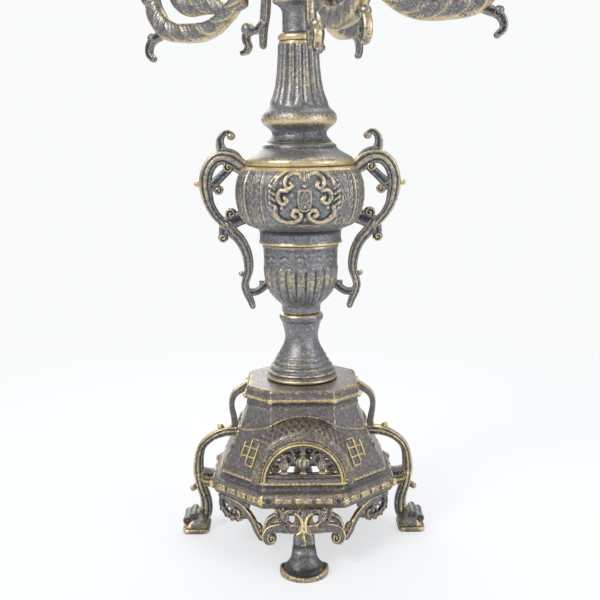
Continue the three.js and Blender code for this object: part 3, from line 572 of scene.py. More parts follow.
# %% [markdown]
# ## Stem foot, cup, lid, column and arm seat
#
# The ringed cone, the gadrooned cup, the lid with its rubbed rim, the fluted column and the neck under the
# arms are all lathes. Their profiles come from the photograph's outline, and their heights from the frame.


# %% Stem foot
def turned(node, profile, reach=1.6, span=0.5, **how):
    """A piece of the stem from its profile, standing where its solid begins."""
    shell = lathe(profile, node_span(node)[0][2], **how)
    return piece(f"{node}_cast", [shell], "stem", [node], stem_finish, reach, span)


foot_profile = [[6.0, 0], [24.2, 0], [24.9, 0.8], [24.9, 1.8], [23.9, 2.8], [23.2, 3.0], [23.1, 4.3],
                [23.9, 5.0], [23.2, 6.0], [21.7, 6.6], [21.4, 8.2], [21.9, 9.0], [21.0, 10.0],
                [19.7, 10.6], [19.3, 12.2], [19.4, 13.0], [17.9, 14.0], [17.4, 15.6], [17.5, 16.4],
                [16.3, 17.4], [14.9, 20.2], [13.2, 23.2], [12.0, 26.5], [11.5, 30], [11.9, 33.5],
                [13.0, 38], [13.9, 41.1], [14.7, 41.6], [15.3, 43.0], [15.3, 45.3], [14.4, 46.4]]
turned("stem_foot", foot_profile, gilt=((1.2, 1.4, 0.26), (44, 2.5, -0.2), (5.4, 1.0, 0.1)))


# %% Gadrooned cup
GADROONS = 22


def gadroons(angle, z, r):
    """Convex lobes: |cos| of half the lobe count's angle, so that grooves are sharp and crests are
    round."""
    lobe = np.abs(np.cos(0.5 * GADROONS * angle)) ** 0.55
    top = 33.6 - 2.2 * (1 - lobe)
    inside = smoothstep(7.2, 9.5, z) * (1 - smoothstep(top - 0.6, top + 0.4, z))
    depth = 1.9 * smoothstep(6, 20, z) + 0.4
    band = smoothstep(35.6, 36.8, z) * (1 - smoothstep(42.8, 44, z))
    leaves = np.abs(np.cos(7 * angle)) * np.cos(1.5 * (z - 40) + 2.4 * np.abs(np.sin(7 * angle)))
    return inside * (depth * (lobe - 1) + 0.55) + 0.3 * band * leaves


cup_profile = [[6.0, 0], [12.9, 0], [13.4, 1.0], [13.4, 5.4], [14.2, 6.4], [15.8, 8.2], [18.6, 11.2],
               [21.2, 14.4], [23.1, 18.2], [24.4, 22.2], [25.1, 26.4], [25.3, 30.4], [25.4, 32.0],
               [25.5, 38], [25.7, 44.6], [25.8, 45.6], [26.3, 46.4], [26.5, 47.4], [26.2, 48.6]]
turned("urn_cup", cup_profile, columns=352, swell=gadroons, gilt=((25, 9, 0.13), (46.8, 1.2, -0.25)))

# %% Lid
lid_profile = [[6.0, 0], [36.4, 0], [37.2, 0.9], [37.4, 2.2], [37.2, 3.6], [36.4, 4.8], [34.8, 5.9],
               [33.0, 6.9], [30.6, 8.1], [28.6, 9.2], [26.8, 10.4], [25.6, 11.5], [25.1, 12.4],
               [25.2, 13.2], [24.6, 13.9], [22.8, 14.9]]
turned("urn_lid", lid_profile, gilt=((2.2, 2.4, 0.27), (13, 1.6, -0.25)))

# %% Fluted column
FLUTES = 16


def flutes(angle, z, r):
    """Round ribs between narrow grooves, dying out at the roll below and under the bead above."""
    rib = np.abs(np.cos(0.5 * FLUTES * angle)) ** 0.7
    inside = smoothstep(23.5, 28, z) * (1 - smoothstep(63.5, 65.5, z))
    return inside * 1.7 * (rib - 0.75)


column_profile = [[6.0, 0], [22.8, 0], [21.2, 1.4], [19.6, 3.2], [18.4, 5.4], [18.9, 7.4], [20.8, 9.4],
                  [23.4, 11.4], [24.8, 12.6], [25.6, 14.2], [25.7, 16.6], [25.0, 19.0], [23.6, 20.6],
                  [21.6, 22.2], [20.2, 24.0], [19.1, 27.0], [17.3, 31.5], [15.9, 36.5], [14.8, 43.0],
                  [14.0, 51.0], [13.5, 60.0], [13.2, 66.4]]
turned("column", column_profile, columns=320, swell=flutes,
       gilt=((14.2, 3.2, 0.4), (0.5, 1.2, -0.25), (45, 18, 0.12)))

# %% Bead, neck and flare
seat_profile = [[6.0, 0], [12.4, 0], [13.4, 0.8], [13.8, 2.2], [13.5, 3.8], [12.5, 4.7], [11.2, 5.2],
                [10.7, 6.0], [10.6, 12], [10.6, 18.6], [11.0, 20.2], [12.4, 22.2], [14.2, 23.4],
                [16.6, 24.6], [17.1, 25.6], [17.1, 27.6], [16.5, 29.2], [16.6, 30.2], [17.6, 31.8],
                [18.0, 32.6], [18.0, 34.0], [17.6, 34.6]]
turned("arm_seat", seat_profile, gilt=((2.3, 1.8, 0.36), (26.4, 1.8, 0.3), (12, 4, -0.05)))

# %% [markdown]
# ## Relief on the belly
#
# The belly carries an oval cartouche in front and behind, with scrolls, beads and a small shield, and
# leaves beside the handles. It could be carved with a texture, but the relief has to be there in the mesh
# too. So every point of a fine lathe asks how far it is from each drawn line, and rises as a round ridge
# near it.


# %% Drawing on a surface
def smooth_path(points, step=0.6):
    """Points every `step` along a curve through the given points: cubics whose slopes are those of the
    chords."""
    points = np.asarray(points, float)
    knots = np.concatenate([[0], np.cumsum(np.linalg.norm(np.diff(points, axis=0), axis=1) ** 0.5)])
    if len(points) > 2:
        slope = np.gradient(points, knots, axis=0)
    else:
        slope = np.diff(points, axis=0)[[0, 0]] / knots[1]
    fine = np.linspace(0, knots[-1], 16 * len(points))
    k = np.clip(np.searchsorted(knots, fine, side="right") - 1, 0, len(knots) - 2)
    gap = (knots[k + 1] - knots[k])[:, None]
    t = (fine - knots[k])[:, None] / gap
    curve = ((2 * t**3 - 3 * t**2 + 1) * points[k] + (t**3 - 2 * t**2 + t) * gap * slope[k]
             + (3 * t**2 - 2 * t**3) * points[k + 1] + (t**3 - t**2) * gap * slope[k + 1])
    run = run_of(curve)
    at = np.linspace(0, run[-1], max(int(run[-1] / step), 3) + 1)
    return np.stack([np.interp(at, run, curve[:, c]) for c in range(points.shape[1])], 1)


def distance_to(x, z, line):
    """Shortest distance from every point (x, z) to a polyline: the nearest of the feet on its segments."""
    best = np.full(x.shape, 1e9)
    for (ax, az), (bx, bz) in zip(line[:-1], line[1:]):
        dx, dz = bx - ax, bz - az
        t = np.clip(((x - ax) * dx + (z - az) * dz) / max(dx * dx + dz * dz, 1e-9), 0, 1)
        best = np.minimum(best, np.hypot(x - ax - t * dx, z - az - t * dz))
    return best


def ridge(x, z, points, half_width, height):
    """A round ridge along a curve: the upper half of a circle of distance, scaled to its height."""
    reach = np.minimum(distance_to(x, z, smooth_path(points, 1.2)) / half_width, 1)
    return height * np.sqrt(1 - reach**2)


def bead(x, z, centre, radius, height):
    """A half ball on the surface."""
    reach = np.minimum(np.hypot(x - centre[0], z - centre[1]) / radius, 1)
    return height * np.sqrt(1 - reach**2)


def ellipse(centre_z, wide, high, count=24):
    """The right half of an oval, from its foot to its top."""
    turn = np.linspace(-np.pi / 2, np.pi / 2, count)
    return np.stack([wide * np.cos(turn), centre_z + high * np.sin(turn)], 1)


# %% Cartouche
BELLY_R = 44.4
BELLY_FOOT = 208.1
OVAL_X, OVAL_Z, OVAL_WIDE, OVAL_HIGH = 3.0, 242.2, 25.3, 20.4
BARB_STEP = 4.3


def cartouche(x, z):
    """Height of the oval ornament over the ground, drawn for the right half and mirrored by |x|. The
    drawing's z is the height over the table."""
    x = np.abs(x - OVAL_X)
    z = z + BELLY_FOOT
    lines = [
        (ellipse(OVAL_Z, OVAL_WIDE, OVAL_HIGH), 0.8, 0.6), (ellipse(OVAL_Z, 23.3, 18.6), 0.6, 0.35),
        ([(0, 262), (0, 252.5)], 0.7, 0.6), ([(2.6, 262), (1.8, 258), (1.2, 253.4)], 0.6, 0.5),
        ([(5.2, 261.6), (3.8, 258), (2.4, 254.6)], 0.7, 0.6),
        ([(8.4, 261.4), (13.2, 258.6), (17.6, 254.4), (19.4, 250.2)], 1.5, 0.8),
        ([(3.4, 257.2), (7.6, 257.6), (12, 254.8), (13, 250.6), (10.6, 247.9), (8, 249.4), (9, 251.4)],
         1.35, 1.15),
        ([(12, 246.6), (15.6, 246.8), (17.6, 243.8), (17, 240.2), (14.2, 237.8), (11.8, 239.6),
          (13, 241.8)], 1.5, 1.2),
        ([(19.2, 235.4), (19.4, 231.2), (16.4, 227.4), (11, 225.4), (5.6, 226.2), (2.6, 229.6), (3.6, 233),
          (7, 233.4), (8.2, 230.8), (6.2, 229.4)], 1.6, 1.3),
        ([(0, 223.6), (4.6, 222.6), (9.6, 222.6), (15, 224)], 0.8, 0.6),
    ]
    lines += [([(19.8, foot), (23.0, foot + 2.4)], 0.95, 0.8)
              for foot in (228.6, 232.4, 236.2, 240, 243.8, 247.6)]
    height = np.zeros(np.broadcast(x, z).shape)
    for points, half_width, rise in lines:
        height = np.maximum(height, ridge(x, z, points, half_width, rise))
    beads = [((15.2, 235.2), 1.3, 1.0), ((0, 249.2), 1.1, 0.7), ((0, 227.4), 1.3, 0.8),
             ((8.4, 243.4), 1.0, 0.5)]
    for centre, radius, rise in beads:
        height = np.maximum(height, bead(x, z, centre, radius, rise))
    shield = ((x / (4.7 - 1.0 * smoothstep(241, 232.5, z))) ** 4 + (np.abs(z - 240) / 7.4) ** 4) ** 0.25
    granules = 0.5 + 0.25 * (np.cos(3.7 * x + 1.3 * z) + np.cos(2.9 * z - 2.1 * x))
    rim = 1.25 * np.exp(-(((shield - 0.9) / 0.11) ** 2))
    fill = (0.35 + 0.55 * granules) * (1 - smoothstep(0.68, 0.82, shield))
    height = np.where(shield < 1.1, np.maximum(rim, fill), height)
    inside = 1 - smoothstep(0.86, 0.92, np.hypot(x / OVAL_WIDE, (z - OVAL_Z) / OVAL_HIGH))
    return height - 0.35 * inside, np.hypot(x / (OVAL_WIDE + 1), (z - OVAL_Z) / (OVAL_HIGH + 1))


def leaf_bands(run, z):
    """Feathered leaves beside the oval: chevrons along a spine, between upright gold ridges."""
    height = np.zeros(np.broadcast(run, z).shape)
    for spine, half in ((35.4, 6.6), (52.4, 6.0)):
        off = np.abs(run - spine)
        barbs = 0.5 + 0.5 * np.cos(2 * np.pi * (z - 1.7 * off + 1.1 * np.sin(off)) / BARB_STEP)
        body = 1 - smoothstep(half - 1.2, half, off)
        height = np.maximum(height, body * (0.2 + 0.5 * barbs**1.4))
        height = np.maximum(height, 0.7 * np.sqrt(1 - np.minimum(off / 0.8, 1) ** 2))
    for edge, rise in ((43.8, 1.0), (60.4, 0.8), (27.6, 0.5)):
        height = np.maximum(height, rise * np.sqrt(1 - np.minimum(np.abs(run - edge) / 1.0, 1) ** 2))
    return height


def belly_relief(angle, z, r):
    """The cartouche where the surface faces front or back, the leaves towards the sides, nothing at the
    rims."""
    folded = np.arcsin(np.sin(angle)) * np.ones_like(r)
    x = r * np.sin(folded)
    oval, reach = cartouche(x, z)
    ground = leaf_bands(np.abs(BELLY_R * folded), z)
    ground = ground * (1 - smoothstep(64, 66, np.abs(BELLY_R * folded)))
    mixed = np.where(reach < 1, oval, ground)
    zone = smoothstep(10.6, 12.4, z) * (1 - smoothstep(51.0, 52.2, z))
    return zone * 1.15 * (mixed - 0.35)


belly_profile = [[6.0, 0], [28.4, 0], [28.9, 0.5], [28.9, 1.2], [28.3, 1.8], [28.1, 3], [28.1, 7.8],
                 [28.6, 8.8], [28.6, 9.6], [31.6, 11.0], [35.6, 12.8], [38.9, 15.4], [41.3, 19.2],
                 [43.0, 24.0], [44.0, 28.6], [44.4, 33.0], [44.3, 38.0], [43.6, 43.0], [42.0, 47.6],
                 [39.6, 50.9], [37.6, 52.2], [36.9, 53.0]]
# The band 9 mm up, with its negative amount, is painted shade: it darkens the bead under the belly's swell.
turned("urn_belly", belly_profile, reach=2.8, span=0.55, step=0.5, columns=560, swell=belly_relief,
       gilt=((0.9, 0.8, 0.12), (9, 1.2, -0.2)))

# %% [markdown]
# ## Cast scrolls
#
# Handles, arms and legs are scrollwork: tapering bars that bend in one plane and end in curls, beads and
# buttons. Each bar is an oval section carried along a smooth curve, with a groove along its faces that
# leaves a raised rib on both edges. A cloth reaches the outer edge first, so each edge can be rubbed by its
# own amount.


# %% Strokes, beads and buttons
def hollow(x, along):
    """A channel along the middle of the face: a bell curve across the bar."""
    return 1 - 0.34 * np.exp(-((x / 0.42) ** 2))


def two_channels(x, along):
    """Three ribs: two channels, one on each side of the middle."""
    return 1 - 0.3 * np.exp(-(((np.abs(x) - 0.42) / 0.17) ** 2))


def dished(x, along):
    """A flat sunk face between two raised rims."""
    return 1 - 0.26 * (1 - smoothstep(0.5, 0.82, np.abs(x)))


def plain(x, along):
    """No relief: the face stays round."""
    return np.ones(np.broadcast(x, along).shape)


def centre_line(points, widths, step=0.8):
    """A bar's middle line, tangents, normals, half widths and run. The widths are spread evenly over the
    given points, however far apart these lie."""
    line = smooth_path(points, step)
    tangent = unit(np.gradient(line, axis=0))
    normal = np.stack([-tangent[:, 1], tangent[:, 0]], 1)
    run = run_of(line)
    chords = run_of(points)
    place = np.interp(run / run[-1], chords / chords[-1], np.linspace(0, 1, len(points)))
    return line, tangent, normal, np.interp(place, np.linspace(0, 1, len(widths)), widths), run


def stroke(points, widths, depth, face=hollow, sides=20, step=0.8, tip=True, y=0.0, polish=0.0, gild=(0, 0),
           slim=1.6):
    """A bar in the XZ plane through the points, of half sizes widths and depth. Rings stand square to the
    curve, and shrink as a circle does over the last width of each end. The depth is at most `slim` times
    the width. Gild says how much more the left and the right edge are rubbed."""
    line, tangent, normal, width, run = centre_line(points, widths, step)
    scale = np.ones(len(line))
    if tip:
        swing = np.radians([20, 40, 62, 84])
        head = line[0] - width[0] * np.sin(swing[::-1])[:, None] * tangent[0]
        tail = line[-1] + width[-1] * np.sin(swing)[:, None] * tangent[-1]
        line = np.concatenate([head, line, tail])
        scale = np.concatenate([np.cos(swing[::-1]), scale, np.cos(swing)])
        normal = np.pad(normal, ((4, 4), (0, 0)), mode="edge")
        width, run = np.pad(width, 4, mode="edge"), np.pad(run, 4, mode="edge")
    angle = circle(sides) + np.pi / sides
    across = np.sign(np.cos(angle)) * np.abs(np.cos(angle)) ** 0.8
    through = np.sign(np.sin(angle)) * np.abs(np.sin(angle)) ** 0.72
    thick = np.minimum(depth, width * slim) * scale
    relief = face(across[None, :], run[:, None])
    x = line[:, :1] + normal[:, :1] * (width * scale)[:, None] * across
    z = line[:, 1:] + normal[:, 1:] * (width * scale)[:, None] * across
    grid = np.stack([x, y + thick[:, None] * through * relief, z], -1)
    rubbed = gild[0] * smoothstep(0.4, 0.85, across) + gild[1] * smoothstep(0.4, 0.85, -across)
    return shell_of(grid, polish=polish + np.tile(rubbed, len(line)))


def rings_across(x, z, profile, count):
    """Rings about an axis that runs along Y through (x, z): the profile holds their radii and their
    places."""
    angle = circle(count)
    return np.stack([x + profile[:, :1] * np.cos(angle), profile[:, 1:] * np.ones(count),
                     z + profile[:, :1] * np.sin(angle)], -1)


def ball(x, z, radius, squash=1.0, polish=0.12):
    """A sphere of rings from pole to pole, closed by two tiny caps; squash flattens it along Y."""
    rise = np.linspace(-1.45, 1.45, 11)
    profile = radius * np.stack([np.cos(rise), squash * np.sin(rise)], 1)
    return shell_of(rings_across(x, z, profile, 18), polish=polish)


BUTTON_SHAPE = [(0.05, 0.92), (0.2, 0.9), (0.34, 0.72), (0.46, 0.5), (0.6, 0.5), (0.7, 0.78), (0.82, 0.92),
                (0.93, 0.8), (1.0, 0.4)]


def button(x, z, radius, depth, polish=0.1):
    """A scroll's eye: a disc with a rounded rim, a sunk ring and a middle bead, alike on both faces."""
    half = dense(BUTTON_SHAPE, 0.09, closed=False, blur=1)
    profile = np.concatenate([half * [1, -1], half[::-1]]) * [radius, depth]
    return shell_of(rings_across(x, z, profile, 28), polish=polish)


def spiral_eye(x, z, radius, depth, start, turns=1.35, polish=0.12):
    """A scroll's eye: a cushion, and a ridge that winds in to its middle, alike on both faces."""
    cushion = ball(x, z, 0.96 * radius, squash=0.86 * depth / radius, polish=-0.15)
    angle = np.radians(start) + np.linspace(0, 2 * np.pi * turns, 16)
    reach = radius * np.linspace(0.84, 0.1, 16)
    path = np.stack([x + reach * np.cos(angle), z + reach * np.sin(angle)], 1)
    widths = radius * np.array([0.17, 0.18, 0.22])
    return [cushion, stroke(path, widths, depth, face=plain, sides=10, step=0.5, polish=polish, slim=9)]


def both_sides(shells):
    """The shells and their mirror images across the stem."""
    return shells + [mirrored(shell) for shell in shells]


# %% [markdown]
# ## Handles
#
# Each handle springs from the belly's shoulder with a hooked crest, bows outwards in a ribbed C, runs back
# under the belly, and ends in a thin tail that a strut ties to the cup.

# %% Handles
def handle_shells():
    """The right handle, in the plane of the stem axis: x is the distance from the axis."""
    bow = [(40, 260.5), (45, 264.2), (50.5, 266.6), (56, 266.2), (61, 262), (64, 255.5), (64.8, 248),
           (63.6, 240), (61.6, 233.5), (58, 227.5), (52.5, 221.5)]
    bow_widths = [5.4, 6, 4.9, 4.6, 4.5, 4.4, 4.2, 3.5, 3.2, 3.1]
    main = stroke(bow, bow_widths, 3.5, face=two_channels, sides=32, gild=(0.36, 0.1))
    tail = [(50, 220.5), (46.5, 215.5), (42.4, 211.2), (38.9, 205.2), (37, 199.5), (36.1, 193),
            (36.3, 188.5), (38, 183), (38.9, 178.5), (38, 174), (35.6, 168.5), (33.9, 163.8)]
    tail_widths = [4.2, 4, 3.8, 3.6, 3.4, 3.0, 2.8, 2.8, 2.6, 2.2]
    lower = stroke(tail, tail_widths, 3.1, face=two_channels, sides=28, gild=(0.05, 0.3))
    hook = stroke([(51, 268.5), (53.4, 273), (54.1, 277.5), (52.8, 281.4), (49.5, 284), (46.4, 282.4)],
                  [4.2, 3.2, 2.5, 2.1, 2.1], 2.7, gild=(0.05, 0.32))
    crest = stroke([(52.5, 271.5), (47.5, 270.6), (43, 267.6), (40.4, 262.5)], [2.4, 2.7, 2.8], 2.9)
    branch = stroke([(49.5, 258), (54, 253.8), (58, 250), (61.5, 247)], [3, 3.2, 3.8], 2.7)
    curl = stroke([(61, 247.4), (57.5, 246.4), (54.7, 245)], [2.7, 2.5, 2.4], 2.6)
    bridge = stroke([(38.2, 226), (44.5, 224.6), (51, 221.4)], [4.6, 5.6, 5], 3.0)
    drop = stroke([(51.5, 221.5), (53.2, 216.5), (53.4, 212.6)], [4.2, 3.2, 2.8], 2.6)
    strut = stroke([(37.0, 173.8), (31, 174), (22.7, 180.1)], [2.6, 2.7, 3], 2.8)
    eyes = [*spiral_eye(48.5, 260.2, 4.0, 4.4, 40, -1.35), *spiral_eye(47.6, 228.6, 4.2, 4.2, -40),
            *spiral_eye(55.8, 244.8, 3.5, 3.4, 140), ball(46.4, 281.2, 2.9, polish=0.3),
            *spiral_eye(53.4, 211.9, 3.7, 3.4, 200, polish=0.3), ball(70.6, 249, 2.1, polish=0.4),
            ball(41.2, 186.6, 2.1, polish=0.35), ball(35.4, 174.6, 1.8, polish=0.0)]
    return [main, lower, hook, crest, branch, curl, bridge, drop, strut, *eyes]


def twins(first, second, shells, finish, span=0.5):
    """Two pieces alike: one as drawn, and one turned by half a turn to the other side of the stem."""
    for node, degrees in ((first, 0), (second, 180)):
        cast = [turned_by(shell, degrees) for shell in shells]
        piece(f"{node}_cast", cast, "stem", [node], finish, span=span)


twins("handle_right", "handle_left", handle_shells(), stem_finish)

# %% [markdown]
# ## Arms
#
# An arm is one casting: a flat eye on the spindle, a leaf that swells and dips and rises again under the
# light, and hooks and curls hung on it. Slanting ribs cross the leaf. It is drawn once, outwards along +X,
# and turned to each bearing, which the frame gives as the place of that arm's socket.


# %% Leaf faces
LEAFLET_SWEEP, LEAFLET_STEP = 17, 15.5


def leaf(x, along):
    """Leaflets that overlap: each begins as a flat rib at the lower edge and sweeps on as it crosses the
    bar, with fine lines between. A rib is where the length run, with the sweep added, is a whole number of
    steps."""
    turns = (along + LEAFLET_SWEEP * ((1 - x) / 2) ** 2) / LEAFLET_STEP
    rib = (0.5 + 0.5 * np.cos(2 * np.pi * turns)) ** 5
    lines = (0.5 + 0.5 * np.cos(8 * np.pi * turns)) ** 2
    rise = turns - np.floor(turns)
    return 0.86 + 0.13 * rib + 0.045 * lines + 0.06 * rise - 0.08 * x**2


ARM_SCREW_BORE = 2.3


def arm_shells():
    """One arm with the middle of its eye at the origin."""
    eye = lathe([[9.0, -1.6], [16.4, -1.6], [17, -1.1], [17, 1.1], [16.4, 1.6], [9.0, 1.6]], 0, columns=72,
                bore=8.3, polish=0.15)
    neck = stroke([(13, 0), (20, 0.3), (27, 2.2)], [1.5, 1.8, 3.0], 4.2, tip=False)
    leaf_line = [(19.5, 0.4), (30, 3), (40, -2), (49, -9.5), (60, -19.5), (70.5, -26.5), (80, -29.6),
                 (90, -30.3), (100, -29.8), (111, -28.3), (120, -24), (127, -15.5), (130.5, -5), (131, 8),
                 (126.5, 18), (125, 25)]
    leaf_widths = [1.8, 3.2, 4.4, 5.4, 6, 6.6, 7, 7.1, 7, 7.6, 7.4, 6.4, 5.6, 4.6, 4.8]
    main = stroke(leaf_line, leaf_widths, 6, face=leaf, sides=44, step=0.6, polish=0.05, gild=(0.12, 0.28))
    inner_line = [(62, -17), (70, -13.2), (82, -12.2), (95, -12.6), (106.5, -5.6), (111, 5.6),
                  (106.4, 14.6), (98.4, 16.4), (93.6, 10.8), (96.6, 6.2)]
    inner_widths = [4, 6, 6.4, 6, 4.4, 3.2, 2.4, 2.0, 1.8]
    inner = stroke(inner_line, inner_widths, 4.2, face=leaf, sides=36, polish=0.04, gild=(0.22, 0.22))
    hook = stroke([(117, -27), (126, -31), (131.5, -33.5), (135, -38), (135.3, -43), (131.6, -46.8)],
                  [4.2, 3.6, 3.2, 2.8, 2.4], 3.2, gild=(0.3, 0.15))
    inner_hook_line = [(28.4, -27), (34, -31.4), (39.5, -32), (43.6, -34.5), (43.8, -38.5), (42, -42),
                       (44, -45.6), (47.2, -46.4)]
    inner_hook_widths = [2.6, 2.8, 3, 3, 2.6, 2.3, 2.1, 1.9]
    inner_hook = stroke(inner_hook_line, inner_hook_widths, 3.2, gild=(0.34, 0.15))
    root = stroke([(28.2, 2), (26.4, -9), (27.2, -22), (28.8, -32), (29.4, -42.4)],
                  [3.0, 3.4, 3.4, 2.6, 1.9], 3.3, face=dished, gild=(0.2, 0.2))
    back_leaf = stroke([(62, -17), (54, -14.6), (46.5, -12.4)], [4, 4.6, 4.4], 4.0, face=leaf, sides=32)
    tip = stroke([(130, -8), (137.5, -4), (140, 4), (136.5, 9)], [3.6, 2.8, 2, 1.5], 3.2)
    crest = stroke([(52, -8), (60, 2), (70, 6), (78, 1), (75, -6), (69, -5)], [3.4, 3.2, 2.8, 2.4, 1.8],
                   3.2)
    collar = lathe([[2.6, 18.6], [5.4, 18.8], [6.4, 20.4], [5.6, 21.8], [6.4, 23.0], [7.0, 24.4],
                    [7.0, 26.4], [6.6, 27.0]], 0, columns=48, bore=ARM_SCREW_BORE, polish=0.1)
    collar = moved(collar, lambda points: points + [125, 0, 0])
    eyes = [ball(132.4, -31.4, 3.5), ball(42.5, -30.6, 4.7), ball(131.4, -47, 2.5), ball(46.4, -46.2, 2.2),
            ball(29.2, -42.6, 2.3), ball(136.4, 9, 2.0), button(97.4, 9.6, 3.2, 3.8),
            button(71.6, -1.4, 3.4, 3.7), button(32.0, -9.2, 2.2, 2.9), button(47.6, -12.4, 3.6, 4.6),
            button(112, -28, 3.4, 6.2), button(131.4, -33.2, 2.4, 3.9), button(58, -16.4, 2.6, 4.9)]
    return [eye, neck, main, inner, hook, inner_hook, root, back_leaf, tip, crest, collar, *eyes]


# %% Pans and sockets
def scallop(angle, z, r):
    """A waved edge: twelve shallow lobes that grow towards the rim of the pan."""
    return 0.9 * np.clip((r - 12) / 14, 0, 1) ** 2 * (np.cos(12 * angle) - 1)


def pan_shell(bore):
    """A drip pan: thin, waved at the edge, with a raised lip and a ring round the socket's foot."""
    top = [[bore + 1, 1.8], [9.4, 1.8], [10.4, 2.6], [11.4, 1.9], [15, 2.3], [20, 3.6], [24, 5.6],
           [25.8, 7.0], [26.8, 7.0], [27, 6.2]]
    under = [[25.4, 4.6], [23, 3.0], [19, 1.5], [15, 0.5], [bore + 1, 0]]
    return lathe(under[::-1] + top[::-1], 0, columns=144, bore=bore, swell=scallop)


def socket_lobes(angle, z, r):
    """Gadroons round the bulb of the socket and beads round its lip."""
    bulb = smoothstep(5.5, 9, z) * (1 - smoothstep(17, 19, z))
    lobes = 0.9 * (np.abs(np.cos(7 * angle)) ** 0.6 - 1) * bulb
    beads = 0.35 * np.cos(28 * angle) * smoothstep(27.2, 28.2, z) * (1 - smoothstep(30, 31, z))
    return np.where(r > 11.3, lobes + beads, lobes * 0.4)


def socket_shell(bore):
    """A candle socket: foot, waist, gadrooned bulb, waist and beaded lip, hollow above its floor."""
    outside = [[bore + 1, 0], [7.0, 0], [7.5, 0.6], [8.3, 1.7], [7.4, 2.8], [5.8, 3.8], [5.6, 4.8],
               [7.4, 6.8], [10.4, 9.2], [12.8, 12.2], [13.6, 14.8], [13.3, 17.6], [12.4, 19.6],
               [12.1, 21.6], [12.2, 24.6], [12.9, 26.6], [14.3, 28.0], [14.9, 29.0], [14.4, 30.4],
               [14.9, 31.6], [15.0, 32.6], [14.5, 33.0], [11.6, 33.0], [11.1, 32.4], [11.0, 30],
               [11.0, 20], [11.0, 9.6], [10.6, 9.0], [bore + 1, 9.0]]
    return lathe(outside, 0, step=0.7, columns=112, bore=bore, swell=socket_lobes)


# %% Four arms with their lights
PAN_OVER_EYE = 27.3
arm_parts = arm_shells()
pan_part, socket_part = pan_shell(ARM_SCREW_BORE), socket_shell(ARM_SCREW_BORE)
for side in ("right", "rear", "left", "front"):
    low, high = node_span(f"socket_{side}")
    middle = (low + high) / 2
    bearing = math.degrees(math.atan2(middle[1], middle[0]))
    reach = math.hypot(middle[0], middle[1])
    pan_z = node_span(f"pan_{side}")[0][2]
    body = f"arm_{side}"
    arm_cast = [turned_by(shell, bearing, (0, 0, pan_z - PAN_OVER_EYE)) for shell in arm_parts]
    piece(f"arm_{side}_cast", arm_cast, body, [f"arm_{side}"], stem_finish)
    piece(f"pan_{side}_cast", [turned_by(pan_part, bearing, (reach, 0, pan_z))], body, [f"pan_{side}"],
          light_finish)
    piece(f"socket_{side}_cast", [turned_by(socket_part, bearing, (reach, 0, low[2]))], body,
          [f"socket_{side}"], light_finish)

# %% [markdown]
# ## Cap, centre stem and centre light
#
# Nothing above the neck is in the photograph, so the cap and the centre light repeat the forms below:
# rolls, a fluted baluster, and the same pan and socket as the arms carry.

# %% Centre light
cap_profile = [[6.0, 0], [17.4, 0], [18.2, 0.6], [18.6, 1.6], [18.0, 2.8], [17.0, 3.4], [15.4, 4.0],
               [13.4, 5.2], [11.6, 6.6], [10.2, 8.0], [9.5, 9.2], [9.4, 10]]


def cap_flutes(angle, z, r):
    """Sixteen shallow waves round the cone of the cap."""
    return 0.5 * (np.cos(16 * angle) - 1) * smoothstep(3.6, 4.6, z) * (1 - smoothstep(8, 9, z))


turned("hub_cap", cap_profile, columns=128, swell=cap_flutes)
centre_profile = [[6.0, 0], [8.4, 0], [9.1, 0.8], [9.4, 1.6], [8.6, 2.8], [7.2, 3.8], [6.6, 5.6], [6.4, 8],
                  [7.0, 10.4], [8.6, 13.4], [10.4, 16.4], [11.3, 19], [11.2, 22], [10.2, 24.8],
                  [8.2, 27.2], [7.2, 28.6], [7.2, 30.6], [8.0, 31.8], [8.9, 32.6], [8.9, 33.6], [8.4, 34]]


def small_flutes(angle, z, r):
    """Ten ribs over the swelling of the baluster."""
    return 0.9 * (np.abs(np.cos(5 * angle)) ** 0.6 - 1) * smoothstep(9, 13, z) * (1 - smoothstep(25, 27, z))


turned("centre_stem", centre_profile, columns=160, swell=small_flutes)
for node, shell in (("pan_centre", pan_shell(BORE)), ("socket_centre", socket_shell(BORE))):
    raised = turned_by(shell, 0, (0, 0, node_span(node)[0][2]))
    piece(f"{node}_cast", [raised], "stem", [node], light_finish)

# %% [markdown]
# ## Base
#
# At each height the base is a square with cut corners. Its wall is two skins of the same grid, an outer and
# an inner one. Cells inside the arches are left out, and every open edge of one skin is joined to the same
# edge of the other, which closes the rim, the middle hole and both arches at once.


# %% Walls of two skins
NECK_APOTHEM, NECK_HALF = 39.2, 21.8
RIM_APOTHEM, RIM_HALF = 62.9, 28.6
RIM_EDGE = 59.5


def corner_of(apothem):
    """Half the width of a main face at that distance from the axis, wider towards the rim."""
    return NECK_HALF + (RIM_HALF - NECK_HALF) * (apothem - NECK_APOTHEM) / (RIM_APOTHEM - NECK_APOTHEM)


def octagon_ring(apothem, main=40, cut=34):
    """Points around the cut square, counted so that each corner is a point."""
    half = corner_of(apothem)
    corners = np.array([[-half, -apothem], [half, -apothem], [apothem, -half], [apothem, half],
                        [half, apothem], [-half, apothem], [-apothem, half], [-apothem, -half]])
    share = [np.linspace(0, 1, count, endpoint=False)[:, None] for count in [main, cut] * 4]
    sides = [corners[k] + (corners[(k + 1) % 8] - corners[k]) * share[k] for k in range(8)]
    return np.concatenate(sides)


